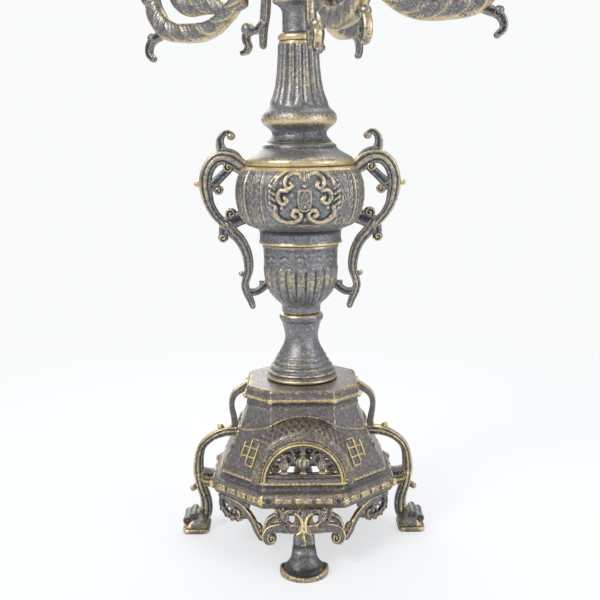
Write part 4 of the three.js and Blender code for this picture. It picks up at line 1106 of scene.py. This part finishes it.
def two_skins(outer, inner, kept):
    """A wall from two grids of points [row, column, xyz]; kept says which of its cells [row, column]
    exist."""
    rows, columns = outer.shape[:2]
    quads = grid_quads(rows, columns)[kept.ravel()]
    starts, ends = quads.ravel(), np.roll(quads, -1, 1).ravel()
    count = rows * columns
    open_edge = ~np.isin(starts * count + ends, ends * count + starts)
    a, b = starts[open_edge], ends[open_edge]
    joins = np.stack([b, a, a + count, b + count], 1)
    points = np.concatenate([outer.reshape(-1, 3), inner.reshape(-1, 3)])
    quads = np.concatenate([quads, quads[:, ::-1] + count, joins])
    if signed_volume(points, quads, []) < 0:
        quads = quads[:, ::-1]
    used, index = np.unique(quads, return_inverse=True)
    return Shell(points[used], index.reshape(-1, 4), [], 0.0)


# %% Relief laid on a surface
def bar(line, out, half_width, height, sides=8, polish=0.2, wave=None):
    """A moulding along points [n, xyz], flat on a surface whose outward direction is `out`; wave(run)
    swells it."""
    line = np.asarray(line, float)
    tangent = unit(np.gradient(line, axis=0))
    out = np.broadcast_to(np.asarray(out, float), line.shape)
    side = unit(np.cross(tangent, out))
    run = run_of(line)
    size = np.ones(len(line)) if wave is None else wave(run)
    size[[0, -1]] = 0.35
    angle = circle(sides)
    size = size[:, None, None]
    across = half_width * size * np.cos(angle)[:, None] * side[:, None, :]
    grid = line[:, None, :] + across + height * size * np.sin(angle)[:, None] * out[:, None, :]
    return shell_of(grid, polish=polish)


def knob(centre, out, up, radii, polish=0.2, petals=0, cut=0.25, power=1.0, count=20):
    """A cushion, bead or star on a surface: half sizes across, up and out; petals notch its outline."""
    out = np.asarray(out, float) / np.linalg.norm(out)
    side = np.cross(up, out)
    side /= np.linalg.norm(side)
    up = np.cross(out, side)
    turn = circle(count)
    rise = np.linspace(-1.4, 1.4, 9)[:, None]
    outline = 1 - cut * (0.5 - 0.5 * np.cos(petals * turn)) if petals else np.ones(count)
    c, s = np.cos(turn), np.sin(turn)
    square = 1.0
    if power < 1:
        square = (np.abs(c) ** (2 / power) + np.abs(s) ** (2 / power)) ** (-power / 2)
    ring = np.cos(rise) ** 0.7 * outline * square
    grid = np.asarray(centre, float) + (radii[0] * ring * c)[..., None] * side
    grid = grid + (radii[1] * ring * s)[..., None] * up
    grid = grid + (radii[2] * np.sin(rise) * np.ones(count))[..., None] * out
    return shell_of(grid, polish=polish)


# %% Base body
BASE_LOW, BASE_HIGH = node_span("base_body")
RIM_Z, TOP_Z = BASE_LOW[2], BASE_HIGH[2]
ARCH_Z, SILL_Z = 54.4, 58.6
ARCH_CUT_R, ARCH_CUT_Y = 28, 34
TOP_APOTHEM, INNER_TOP_APOTHEM = 36.8, 33.4
DECK_RINGS, DECK_THICK = 12, 8
rim_profile = np.array([[RIM_EDGE, 37.4], [60.5, 37.6], [61.3, 39.3], [62.2, 40.6], [62.7, 41.6],
                        [RIM_APOTHEM, 43], [RIM_APOTHEM, 44.6], [62.4, 46.0], [61.1, 47.3], [59.2, 47.9],
                        [57.6, 48.5], [56.2, 49.7], [55.8, 50.9], [56.3, 51.6], [57.1, 52.2], [57.3, 53.2],
                        [57.1, 54.1], [56.2, 54.8], [55.4, 56.1], [55.0, 57.4], [54.8, 58.6]])
wall_profile = np.array([[54.8, 58.6], [53.9, 60.6], [52.6, 63], [50.3, 67], [48.0, 71], [45.7, 75.4],
                         [44.1, 78.4], [43.4, 80], [43.0, 81.5], [42.3, 83.8], [40.9, 86.6], [39.5, 90],
                         [38.4, 94], [37.8, 97.6], [38.3, 98.4], [38.4, 99.3], [37.6, 100.3],
                         [37.0, 101.6], [37.5, 102.5], [38.7, 103.4], [39.2, 104.4], [39.3, 106.0],
                         [38.8, 107.1], [38.1, 107.9], [37.9, 109.0], [38.1, 110.3], [37.6, 111.4],
                         [36.8, 112]])
body_profile = np.concatenate([dense(rim_profile, 1.05, closed=False, blur=1)[:-1],
                               dense(wall_profile, 1.1, closed=False, blur=1)])
body_rings = np.stack([octagon_ring(apothem) for apothem, _ in body_profile])
outer_wall = np.concatenate([body_rings, np.repeat(body_profile[:, None, 1:], body_rings.shape[1], 1)], -1)
deck_scale = np.linspace(0.97, BORE / TOP_APOTHEM, DECK_RINGS)
deck = np.stack([np.column_stack([body_rings[-1] * k, np.full(body_rings.shape[1], TOP_Z)])
                 for k in deck_scale])
inner_z = np.interp(body_profile[:, 1], [RIM_Z, 88, TOP_Z], [RIM_Z, 88, TOP_Z - DECK_THICK])
inner_profile = np.array([[55.3, 36.4], [52.5, 50], [51.7, 56], [49.3, 63], [40, 80], [35.8, 91],
                          [INNER_TOP_APOTHEM, 99], [INNER_TOP_APOTHEM, 104]])
inner_apothem = np.interp(inner_z, inner_profile[:, 1], inner_profile[:, 0])
inner_rings = np.stack([octagon_ring(apothem) for apothem in inner_apothem])
inner_wall = np.concatenate([inner_rings, np.repeat(inner_z[:, None, None], inner_rings.shape[1], 1)], -1)
inner_scale = np.linspace(0.95, BORE / INNER_TOP_APOTHEM, DECK_RINGS)
inner_deck = np.stack([np.column_stack([inner_rings[-1] * k,
                                        np.full(inner_rings.shape[1], TOP_Z - DECK_THICK)])
                       for k in inner_scale])
outer_skin, inner_skin = np.concatenate([outer_wall, deck]), np.concatenate([inner_wall, inner_deck])
middle = (outer_skin[:-1] + outer_skin[1:] + np.roll(outer_skin[:-1] + outer_skin[1:], -1, 1)) / 4
in_arch = (np.hypot(middle[..., 0], middle[..., 2] - ARCH_Z) < ARCH_CUT_R) & (middle[..., 2] > SILL_Z)
in_arch &= np.abs(middle[..., 1]) > ARCH_CUT_Y
base_body = two_skins(outer_skin, inner_skin, ~in_arch)
print("base wall:", len(base_body.points), "points,", int(in_arch.sum()), "cells left out for the arches")


# %% Dormers
HOOD_EDGE = 33.2


def dormer():
    """The round-headed dormer in front: a moulded arch, and a hood that slopes back into the wall. The hood
    stands out over the crown of the arch alone, so that the windows beside it stay in sight."""
    section = np.array([[24.9, -53.2], [24.9, -55.6], [25.2, -56.6], [26.0, -57.0], [26.8, -56.6],
                        [27.1, -55.8], [27.5, -55.6], [28.2, -55.9], [29.0, -55.6], [29.3, -55.5],
                        [29.7, -56.1], [30.4, -56.3], [31.1, -56.0], [31.5, -55.2], [32.2, -55.2],
                        [33.0, -55.0], [33.9, -53.6], [35.6, -48.8], [37.4, -43.6], [38.6, -40.2],
                        [39.2, -39.2], [40.0, -38.6], [40.3, -37.4], [39.6, -36.4], [37.0, -36.5],
                        [33.5, -44.0], [30.2, -52.0], [27.5, -52.8]])
    loop = dense(section, 0.62, closed=True, blur=1)
    turn = np.radians(np.linspace(-4, 184, 170))[:, None]
    radius, y = loop[None, :, 0], loop[None, :, 1]
    crown = smoothstep(0.3, 0.78, np.sin(turn))
    radius = np.where(radius > HOOD_EDGE, HOOD_EDGE + (radius - HOOD_EDGE) * crown, radius)
    hood = smoothstep(33.6, 34.6, radius) * (1 - smoothstep(38.2, 39, radius)) * smoothstep(-56, -54, y)
    hood = hood * (y < -38) * ((radius - 30.2) / 9.8 > (y + 52) / 16 * 0.9)
    across = np.degrees(turn) / 7.2
    slope = (radius - 33) / 3.2
    lines = np.maximum(np.cos(np.pi * (across + slope)) ** 8, np.cos(np.pi * (across - slope)) ** 8)
    radius = radius + 0.7 * hood * lines
    grid = np.stack([radius * np.cos(turn), np.broadcast_to(y, radius.shape),
                     ARCH_Z + radius * np.sin(turn)], -1)
    return shell_of(grid)


def bead_row():
    """Small beads in the hollow of the arch's mouldings."""
    places = np.radians(np.linspace(2, 178, 31))
    return [knob((29.3 * math.cos(a), -56.1, ARCH_Z + 29.3 * math.sin(a)), (0, -1, 0.05), (0, 0, 1),
                 (1.15, 1.15, 0.9), polish=0.2, count=10) for a in places]


def arch_line(radius, y, half_width, height, polish, ends=(-4, 184), out=(0, -1, 0)):
    """A line that follows the arch at one radius."""
    turn = np.radians(np.linspace(*ends, 90))
    line = np.stack([radius * np.cos(turn), np.full(90, y), ARCH_Z + radius * np.sin(turn)], 1)
    return bar(line, out, half_width, height, polish=polish)


dormer_parts = [dormer(), *bead_row(), arch_line(26.0, -56.9, 0.8, 0.6, 0.42),
                arch_line(27.7, -56.0, 0.5, 0.6, 0.34), arch_line(31.3, -56.0, 0.45, 0.5, 0.12),
                arch_line(33.6, -54.2, 0.5, 0.5, 0.1)]
sill_line = [[-26.6, -55.4, 57.6], [-13, -55.6, 57.6], [0, -55.6, 57.6], [13, -55.6, 57.6],
             [26.6, -55.4, 57.6]]
dormer_parts.append(bar(sill_line, (0, -1, 0), 1.1, 1.0, polish=-0.2))


# %% Ornament of the faces
def wall_point(azimuth, s, z, lift=0.0):
    """A point on a face of the base: s along the face, z up, lift away from it. Main faces lie at multiples
    of 90 degrees, and cut faces between them."""
    apothem = np.interp(z, body_profile[:, 1], body_profile[:, 0])
    half = corner_of(apothem)
    distance = apothem if azimuth % 90 == 0 else (apothem + half) / math.sqrt(2)
    out = np.array([math.cos(math.radians(azimuth)), math.sin(math.radians(azimuth)), 0])
    along = np.array([-out[1], out[0], 0])
    s, z, distance = np.broadcast_arrays(np.asarray(s, float), np.asarray(z, float), distance)
    return (distance + lift)[..., None] * out + s[..., None] * along + z[..., None] * np.array([0, 0, 1])


def face_out(azimuth, tilt=0.0):
    """The outward direction of a face, tilted up by so many degrees."""
    a, t = math.radians(azimuth), math.radians(tilt)
    return np.array([math.cos(a) * math.cos(t), math.sin(a) * math.cos(t), math.sin(t)])


UP = np.array([0, 0, 1.0])
HOOD_R = 40.1
LEDGE_Z = 81.4
BAND_Z = 43.6
TILE_SHARE = 0.41
CUT_FACES = {225: 1, 45: 1, -45: -1, 135: -1}


def face_half(azimuth, z):
    """Half the width of a face of the base at that height."""
    apothem = np.interp(z, body_profile[:, 1], body_profile[:, 0])
    half = corner_of(apothem)
    return half if azimuth % 90 == 0 else (apothem - half) / math.sqrt(2)


def girdle(z, half_width, height, polish, tilt=0, faces=range(-135, 225, 45), swell=0.15, wave=1.9):
    """A line along each of the named faces at one height, swelling and thinning as if filed by hand."""
    lines = []
    for azimuth in faces:
        reach = face_half(azimuth, z) - 0.3
        line = wall_point(azimuth, np.linspace(-reach, reach, 36), np.full(36, z), 0.1)
        lines.append(bar(line, face_out(azimuth, tilt), half_width, height, polish=polish,
                         wave=lambda run: 1 + swell * np.cos(run * wave)))
    return lines


def rim_tiles(azimuth, half, count):
    """Long cushions along the rim's band, with small upright beads between them."""
    step = 2 * half / count
    places = -half + step * (np.arange(count) + 0.5)
    out = face_out(azimuth)
    tiles = [knob(wall_point(azimuth, s, BAND_Z, -0.1), out, UP, (TILE_SHARE * step, 2.0, 1.0), power=0.35,
                  polish=0.3) for s in places]
    studs = [knob(wall_point(azimuth, s, BAND_Z, 0.0), out, UP, (0.5, 1.9, 0.9), polish=-0.1, count=8)
             for s in places[:-1] + step / 2]
    return tiles + studs


def lattice(azimuth, flip):
    """The window on a cut face: one tall pair of panes, one short pair, leaning with the wall."""
    out = face_out(azimuth, 28)
    uprights = ((-5.2, 65.0, 76.0), (0.8, 61.5, 78.8), (7.8, 61.0, 78.0))
    rails = ((61.6, 0.8, 8.2), (66.8, -5.8, 8.8), (72.4, -5.8, 8.8), (78.0, -0.4, 8.8))
    lines = [(np.full(9, flip * s), np.linspace(low, high, 9)) for s, low, high in uprights]
    lines += [(flip * np.linspace(left, right, 9), np.full(9, z)) for z, left, right in rails]
    return [bar(wall_point(azimuth, s, z, 0.4), out, 0.7, 1.1, polish=0.42) for s, z in lines]


def ledge_lines():
    """The ledge: level on the side faces, rising across the cut faces, and arched over both hoods."""
    wavy = {"polish": 0.26, "wave": lambda run: 1 + 0.14 * np.cos(run * 2.3)}
    lines = girdle(LEDGE_Z, 0.75, 0.9, 0.26, tilt=30, faces=(0, 180), wave=2.2)
    start = math.acos(face_half(-90, 87.6) / HOOD_R)
    peak = HOOD_R * math.sin(start)
    turn = np.linspace(start, math.pi - start, 50)
    hood_line = wall_point(-90, HOOD_R * np.cos(turn), ARCH_Z + HOOD_R * np.sin(turn), 0.3)
    hood = bar(hood_line, (0, -0.8, 0.6), 0.75, 0.9, **wavy)
    for azimuth, flip in CUT_FACES.items():
        share = np.linspace(0, 1, 30)
        z = LEDGE_Z + (ARCH_Z + peak - LEDGE_Z) * share**1.4
        s = flip * face_half(azimuth, z) * (2 * share - 1)
        lines.append(bar(wall_point(azimuth, s, z, 0.2), face_out(azimuth, 30), 0.75, 0.9, **wavy))
    return [*lines, hood, turned_by(hood, 180)]


STAR = {"petals": 6, "count": 36}
CORNER_KNOBS = (
    (RIM_APOTHEM, 0.3, BAND_Z, 0.5, 22, 0, (2.9, 2.8, 1.4), {"cut": 0.4, "polish": 0.5, **STAR}),
    (RIM_APOTHEM, 5.3, BAND_Z, 0.1, 0, 0, (2.0, 2.2, 1.0), {"cut": 0.35, "polish": -0.25, **STAR}),
    (NECK_APOTHEM, 0.3, 105.2, 0.4, 22, 0, (2.5, 2.2, 1.3), {"polish": 0.45, **STAR}),
    (44.5, 0.2, 76.5, 0.5, 22, 25, (1.3, 5.0, 1.2), {"polish": 0.2}),
    (48, 0.2, 70.0, 0.4, 22, 25, (1.0, 2.6, 1.0), {"polish": 0.1}),
)
ornament = []
for azimuth in (-90, 0, 90, 180):
    ornament += rim_tiles(azimuth, RIM_HALF - 8.2, 3)
    for sign in (-1, 1):
        for apothem, inset, z, lift, turn, tilt, sizes, look in CORNER_KNOBS:
            spot = wall_point(azimuth, sign * (corner_of(apothem) - inset), z, lift)
            ornament.append(knob(spot, face_out(azimuth + turn * sign, tilt), UP, sizes, **look))
for azimuth, flip in CUT_FACES.items():
    ornament += rim_tiles(azimuth, 20.5, 4)
    ornament += lattice(azimuth, flip)
ornament += ledge_lines()
ornament += girdle(105.4, 1.15, 0.85, 0.36, swell=0.1)
ornament += girdle(99.2, 0.5, 0.5, 0.14)
ornament += girdle(53.5, 0.95, 0.7, 0.34, tilt=30)
ornament += girdle(57.6, 0.5, 0.6, 0.08, tilt=10, faces=(-45, 0, 45, 135, 180, 225), wave=2.4)
ornament += girdle(110.4, 0.6, 0.5, 0.12)
back_parts = [turned_by(part, 180) for part in dormer_parts]
piece("base_cast", [base_body, *dormer_parts, *back_parts], "stem", ["base_body"],
      base_finish, span=0.6)
piece("base_ornament_cast", ornament, "stem", ["base_body"], base_finish, span=0.6)


# %% Grilles
def grille_shells():
    """Three balusters in the arch with small leaves between their shoulders, over a sill bar."""
    y, low = -53.8, 59.4
    turn = np.radians(np.linspace(8, 172, 60))
    hoop = np.stack([23.8 * np.cos(turn), np.full(60, y), ARCH_Z + 23.8 * np.sin(turn)], 1)
    sill = [[x, y, 59.7] for x in (-24, -12, 0, 12, 24)]
    shells = [bar(hoop, (0, -1, 0), 0.85, 1.2, polish=-0.1), bar(sill, (0, -1, 0), 0.9, 1.3, polish=-0.3)]
    for x, bulge, top in ((0, 5.0, 78.4), (12.7, 3.5, 73.4), (-12.7, 3.5, 73.4)):
        middle_z = low + 0.42 * (top - low)
        profile = [[0.5, low], [2.9, low], [3.0, low + 0.8], [2.0, low + 1.6], [1.7, low + 2.6],
                   [2.4, low + 3.2], [bulge * 0.8, middle_z - 2.4], [bulge, middle_z - 0.4],
                   [bulge, middle_z + 1.0], [bulge * 0.75, middle_z + 2.8], [1.9, middle_z + 4.0],
                   [1.5, middle_z + 5.4], [2.6, middle_z + 6.2], [1.6, middle_z + 7.0], [2.0, top - 1.4],
                   [3.0, top], [0.5, top]]
        line = dense(np.array(profile), 0.5, closed=False, blur=1)
        angle = circle(40)
        belt = np.exp(-(((line[:, 1:] - middle_z - 0.3) / 2.0) ** 2))
        r = line[:, :1] * (1 + 0.11 * belt * (np.cos(9 * angle) - 0.4))
        grid = np.stack([x + r * np.cos(angle), y + 0.62 * r * np.sin(angle), line[:, 1:] * np.ones(40)],
                        -1)
        shells.append(shell_of(grid, polish=0.08))
    leaves = [([(4.4, 66.5), (6.8, 69.4), (6.4, 73.2), (8.4, 76.6)], [1.1, 1.2, 1.1, 0.9], 1.2),
              ([(8.6, 66.4), (7.0, 69.2), (9.4, 72.8)], [0.9, 1.0, 0.8], 1.1),
              ([(16.4, 66.0), (18.6, 67.4), (19.2, 70.4)], [1.0, 1.1, 0.9], 1.1)]
    return shells + both_sides([stroke(*leaf_bar, y=y, sides=10) for leaf_bar in leaves])


twins("grille_front", "grille_back", grille_shells(), base_finish)

# %% [markdown]
# ## Legs and aprons
#
# Two tall scroll legs screw to the sides of the wall. Two short ones hang under the rim in front and
# behind, and lean outwards to a spade-shaped foot. Pierced aprons close the four corners between them.


# %% Feet
SPADE_HALF, SPADE_Y = 15.8, -76.2


def stack(sections, count=40, polish=0.0):
    """A block from flat rings going up: each is z, x and y of its middle, two half sizes and a
    squareness."""
    turn = circle(count)
    c, s = np.cos(turn), np.sin(turn)
    rings = []
    for z, x, y, half_x, half_y, square in sections:
        reach = (np.abs(c) ** square + np.abs(s) ** square) ** (-1 / square)
        rings.append(np.stack([x + half_x * reach * c, y + half_y * reach * s, np.full(count, z)], 1))
    return shell_of(np.stack(rings), polish=polish)


def roll_across(x, z, radius, half_length, polish):
    """A roll lying along Y with a ringed end, as a scroll seen from the side."""
    shape = np.array([(0.02, -1.02), (0.3, -1.02), (0.42, -0.96), (0.62, -0.96), (0.8, -1.0),
                      (0.96, -0.97), (1, -0.9), (0.9, -0.5), (0.86, 0), (0.9, 0.5), (1, 0.9), (0.96, 0.97),
                      (0.8, 1.0), (0.62, 0.96), (0.42, 0.96), (0.3, 1.02),
                      (0.02, 1.02)]) * [radius, half_length]
    return shell_of(rings_across(x, z, dense(shape, 0.5, closed=False, blur=1), 30), polish=polish)


# %% Tall legs
def tall_leg_shells():
    """The right-hand tall leg, in the plane of the stem axis."""
    top = [(38.5, 107.2), (43.5, 104), (48, 100.5), (50.1, 95.5), (50.2, 90), (49.2, 84.5), (48.6, 78),
           (50, 73)]
    top_widths = [3, 2.8, 2.4, 2, 2.1, 2.4, 3.2]
    bow = [(46, 73.5), (56, 72.6), (63, 70), (67.8, 66.8), (72, 62.2), (74, 57), (74.9, 51), (75.2, 44),
           (73.6, 38), (68, 36), (61, 36.5)]
    bow_widths = [3.6, 3.4, 2.9, 2.8, 3, 3.3, 3.8, 4.2, 4.4, 4.4]
    shin = [(75, 40), (73.4, 32), (71.2, 25.5), (70.2, 19), (71, 12), (74.5, 6.5)]
    shin_widths = [3.4, 3.6, 3.8, 4.2, 4.6, 5]
    bars = [stroke(top, top_widths, 3.8, face=dished, sides=28, gild=(0.36, 0.1)),
            stroke(bow, bow_widths, 4.1, face=two_channels, sides=32, gild=(0.36, 0.08)),
            stroke(shin, shin_widths, 5, face=two_channels, sides=32, gild=(0.28, 0.04))]
    web = stroke([(60, 41), (66, 40.5), (72, 42)], [4.4, 4.4, 4], 3.8)
    crest = stroke([(55.6, 71.8), (57.6, 74.4), (58.9, 76.4)], [2.8, 2.4, 2], 2.4)
    spur = stroke([(75, 33.5), (77.6, 31.6), (79.8, 30.4)], [2.6, 2.1, 1.7], 2.4)
    sole = stack([(0.0, 77.5, 0, 8.9, 12.4, 7), (0.5, 77.5, 0, 9.4, 12.9, 7), (1.4, 77.5, 0, 9.5, 13.0, 7),
                  (2.6, 77.5, 0, 9.5, 13.0, 7), (3.3, 77.5, 0, 9.1, 12.6, 7), (3.4, 77.5, 0, 8.1, 11.6, 7)],
                 polish=0.12)
    block = stack([(3.0, 77.3, 0, 8.6, 11.8, 6), (5.0, 77.0, 0, 7.9, 11.2, 6), (7.4, 76.4, 0, 7.0, 10.0, 5),
                   (9.8, 75.8, 0, 6.1, 8.4, 5), (11.8, 75.3, 0, 5.4, 7.0, 4), (13.4, 75, 0, 4.6, 5.6, 4)])
    rolls = [roll_across(83.3, 9, 3.5, 9.5, polish=-0.05), roll_across(79.2, 12, 2.8, 9.5, polish=-0.05)]
    beads = [ball(58.8, 76.3, 2.3, polish=0.4), ball(79.7, 30.4, 2.3, polish=0.4),
             *spiral_eye(63.4, 37.4, 3.6, 4.6, 180), button(46.0, 74.2, 2.6, 3.9),
             button(72.4, 14.6, 2.2, 5.4), button(55.2, 72.4, 2.2, 3.9), button(71.4, 41.0, 2.6, 4.3)]
    return [*bars, web, crest, spur, sole, block, *rolls, *beads]


twins("leg_right", "leg_left", tall_leg_shells(), base_finish, 0.55)


# %% Short legs
def leaning(shell):
    """The shell drawn upright at y = 0, set under the rim and leaned outwards as it goes down."""
    outwards = np.array([0, -1, 0])
    return moved(shell, lambda points: points + (RIM_EDGE + 0.45 * (37.1 - points[:, 2:])) * outwards)


def short_leg_shells():
    """The short leg in front: eye-shaped holes, volutes and wings, a shaft with a Y of raised lines, a
    spade."""
    turn = np.radians(np.linspace(95, 425, 24))
    eye = stroke(list(zip(8.4 + 4.1 * np.cos(turn), 31.4 + 5.0 * np.sin(turn))), [1.5, 1.7, 1.5], 2.7,
                 sides=16, polish=0.06)
    bracket = stroke([(16.8, 36.1), (15.8, 32), (10.5, 27)], [2.6, 2.8, 3], 3.0, gild=(0.12, 0.12))
    curve = [(5, 25.5), (12, 26), (18, 26.2), (23.4, 24.8), (25.6, 21.2), (24, 18.4), (20.8, 19)]
    curve_widths = [3, 3, 2.8, 2.3, 1.9, 2.4]
    volute = stroke(curve, curve_widths, 3.0, face=dished, gild=(0.36, 0.16))
    wing = stroke([(15, 34), (19.5, 32.4), (23, 30.4), (24.6, 27.4)], [2.6, 2.3, 1.9], 2.6, gild=(0.3, 0.1))
    filling = [stroke([(12, 35), (11.8, 32), (12, 28)], [2.4, 2.2, 2.4], 2.4),
               stroke([(2.4, 35.6), (0.8, 31), (1.4, 27)], [2.4, 1.6, 2.6], 2.4)]
    arm_of_y = stroke([(5.6, 35.4), (3.4, 34.2), (1.6, 31.4), (1.0, 28), (1.7, 24.8), (4.4, 23.2)],
                      [0.8, 1.1, 1.1, 0.9], 1.7, face=plain, sides=10, y=-2.8, polish=0.42)
    half = [eye, bracket, volute, wing, *filling, arm_of_y, *spiral_eye(21.2, 20.4, 3.4, 3.3, 60, -1.35),
            button(15.4, 30.8, 1.9, 3.3)]
    shaft = stroke([(0, 36), (0, 30), (0, 25.5), (0, 21), (0, 16), (0, 10.5)], [2.2, 2.6, 5, 7, 7.4, 8.4],
                   3.7, face=plain, sides=28)
    stem_line = stroke([(0, 25), (0, 22), (0.6, 17), (0, 11.4)], [1.1, 0.8, 0.7, 0.6], 1.2, face=plain,
                       sides=10, y=-3.3, polish=0.36)
    dots = [knob((0.9 * (-1) ** k, -4.1, 23.6 - 2.3 * k), (0, -1, 0), UP, (0.8, 1.0, 0.7), count=10,
                 polish=0.3)
            for k in range(4)]
    upright = [*both_sides(half), shaft, stem_line, *dots]
    lug = stack([(33.1, 0, -59.1, 13, 2.1, 6), (35.1, 0, -59.1, 13, 2.1, 6), (37.0, 0, -59.1, 13, 2.1, 6)])

    def spade_ring(z, wide, deep, back):
        """A ring of the foot: half round in front and squarer behind. Its front dips, less so above 5.5
        mm."""
        angle = circle(56)
        s = np.sin(angle)
        low = 0.48 * np.clip(-s, 0, 1) ** 1.5 * (1 - smoothstep(5.5, 11, z))
        y = np.where(s < 0, SPADE_HALF * deep * s, back * np.sign(s) * np.abs(s) ** 0.7)
        return np.stack([SPADE_HALF * wide * np.cos(angle), y + SPADE_Y, z * (1 - low)], 1)

    spade_section = [(0.0, 0.975, 0.975, 6.8), (0.5, 0.995, 0.995, 7), (1.0, 1.0, 1.0, 7),
                     (4.2, 1.0, 1.0, 7), (5.0, 0.985, 0.985, 6.9), (5.4, 0.94, 0.94, 6.8),
                     (5.3, 0.88, 0.88, 6.8), (6.2, 0.78, 0.74, 6.8), (7.6, 0.68, 0.6, 6.9),
                     (9.2, 0.6, 0.5, 7), (11, 0.54, 0.42, 7.4), (13, 0.5, 0.38, 8), (17, 0.46, 0.34, 9)]
    spade = shell_of(np.stack([spade_ring(*ring) for ring in spade_section]))
    rim_section = [(0.4, 0.99), (1.4, 1.01), (4.4, 1.01), (5.3, 0.98), (5.5, 0.93), (3.0, 0.9), (0.6, 0.93)]
    rim_rings = np.stack([spade_ring(z, scale, scale, 7 * scale) for z, scale in rim_section], 1)
    rim = shell_of(rim_rings, closed=True, polish=0.26)
    return [*[leaning(part) for part in upright], lug, spade, rim]


twins("leg_front", "leg_back", short_leg_shells(), base_finish, 0.55)


# %% Aprons
def apron_shells():
    """The apron under one cut face, drawn in the face's own plane: x along the face."""
    rail = stroke([(-21.6, 35.1), (-8, 35.1), (6.5, 35.1)], [1.9, 1.9], 1.8)
    loop_line = [(-19.5, 35.2), (-20.4, 29.5), (-17.2, 25), (-10.6, 22.8), (-3.6, 23.6), (-2, 27),
                 (-5, 28.4)]
    loop = stroke(loop_line, [1.8, 1.9, 2, 1.8, 1.5], 2.2, gild=(0.05, 0.3))
    lobes = [button(x, z, 1.9, 2.3) for x, z in ((-19.4, 26.4), (-14.6, 23), (-8.6, 21.9), (-2.8, 23))]
    strand_line = [(-14, 34.7), (-3, 33.4), (4.6, 30.6), (11.6, 25.2), (15.6, 19.6), (19.6, 15.8)]
    strand_widths = [2, 2.4, 2.4, 2.2, 1.9]
    strand = stroke(strand_line, strand_widths, 2.3, face=dished, sides=24, gild=(0.34, 0.1))
    fan = [stroke([(-7, 32.4), tip], [1.0, 1.2, 0.8], 2.0, face=plain, sides=12)
           for tip in ((-17.0, 31.6), (-15.4, 28.2), (-11.2, 25.4), (-6.6, 25.0))]
    tie = stroke([(-2.6, 24.4), (3, 26), (8, 28)], [1.5, 1.7], 1.8)
    curl = stroke([(13.2, 23.6), (16.8, 24.2), (19.4, 21.6), (17.8, 19.4)], [1.3, 1.3, 1.2, 1.0], 1.8)
    end = ball(19.9, 15.6, 2.0, squash=0.9)
    return [rail, loop, *lobes, strand, *fan, tie, curl, end]


APRON_DISTANCE = (RIM_EDGE + RIM_HALF) / math.sqrt(2) - 2.6
apron = apron_shells()
placed = {"front_left": (225, False), "front_right": (315, True), "back_right": (45, False),
          "back_left": (135, True)}
for place, (azimuth, flipped) in placed.items():
    parts = [mirrored(part) if flipped else part for part in apron]
    parts = [turned_by(part, azimuth + 90, (0, -APRON_DISTANCE, 0)) for part in parts]
    piece(f"apron_{place}_cast", parts, "stem", [f"apron_{place}"], base_finish, span=0.55)

# %% [markdown]
# ## Carried nodes
#
# Screws, nuts, rod, washer and spindle keep their solids, and get their metals here. The solids under the
# castings get theirs too, so that none is left plain.

# %% Metals of the carried nodes
METALS = (
    (("leg_", "apron_", "grille_", "base_"), base_finish),
    (("arm_", "handle_", "urn_", "column", "hub", "centre", "stem"), stem_finish),
    (("pan_", "socket_"), light_finish),
)
for node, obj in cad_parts.items():
    finish = steel_finish
    for beginnings, metal in METALS:
        if node.startswith(beginnings) and "screw" not in node:
            finish = metal
    obj.data.materials.clear()
    obj.data.materials.append(finish)
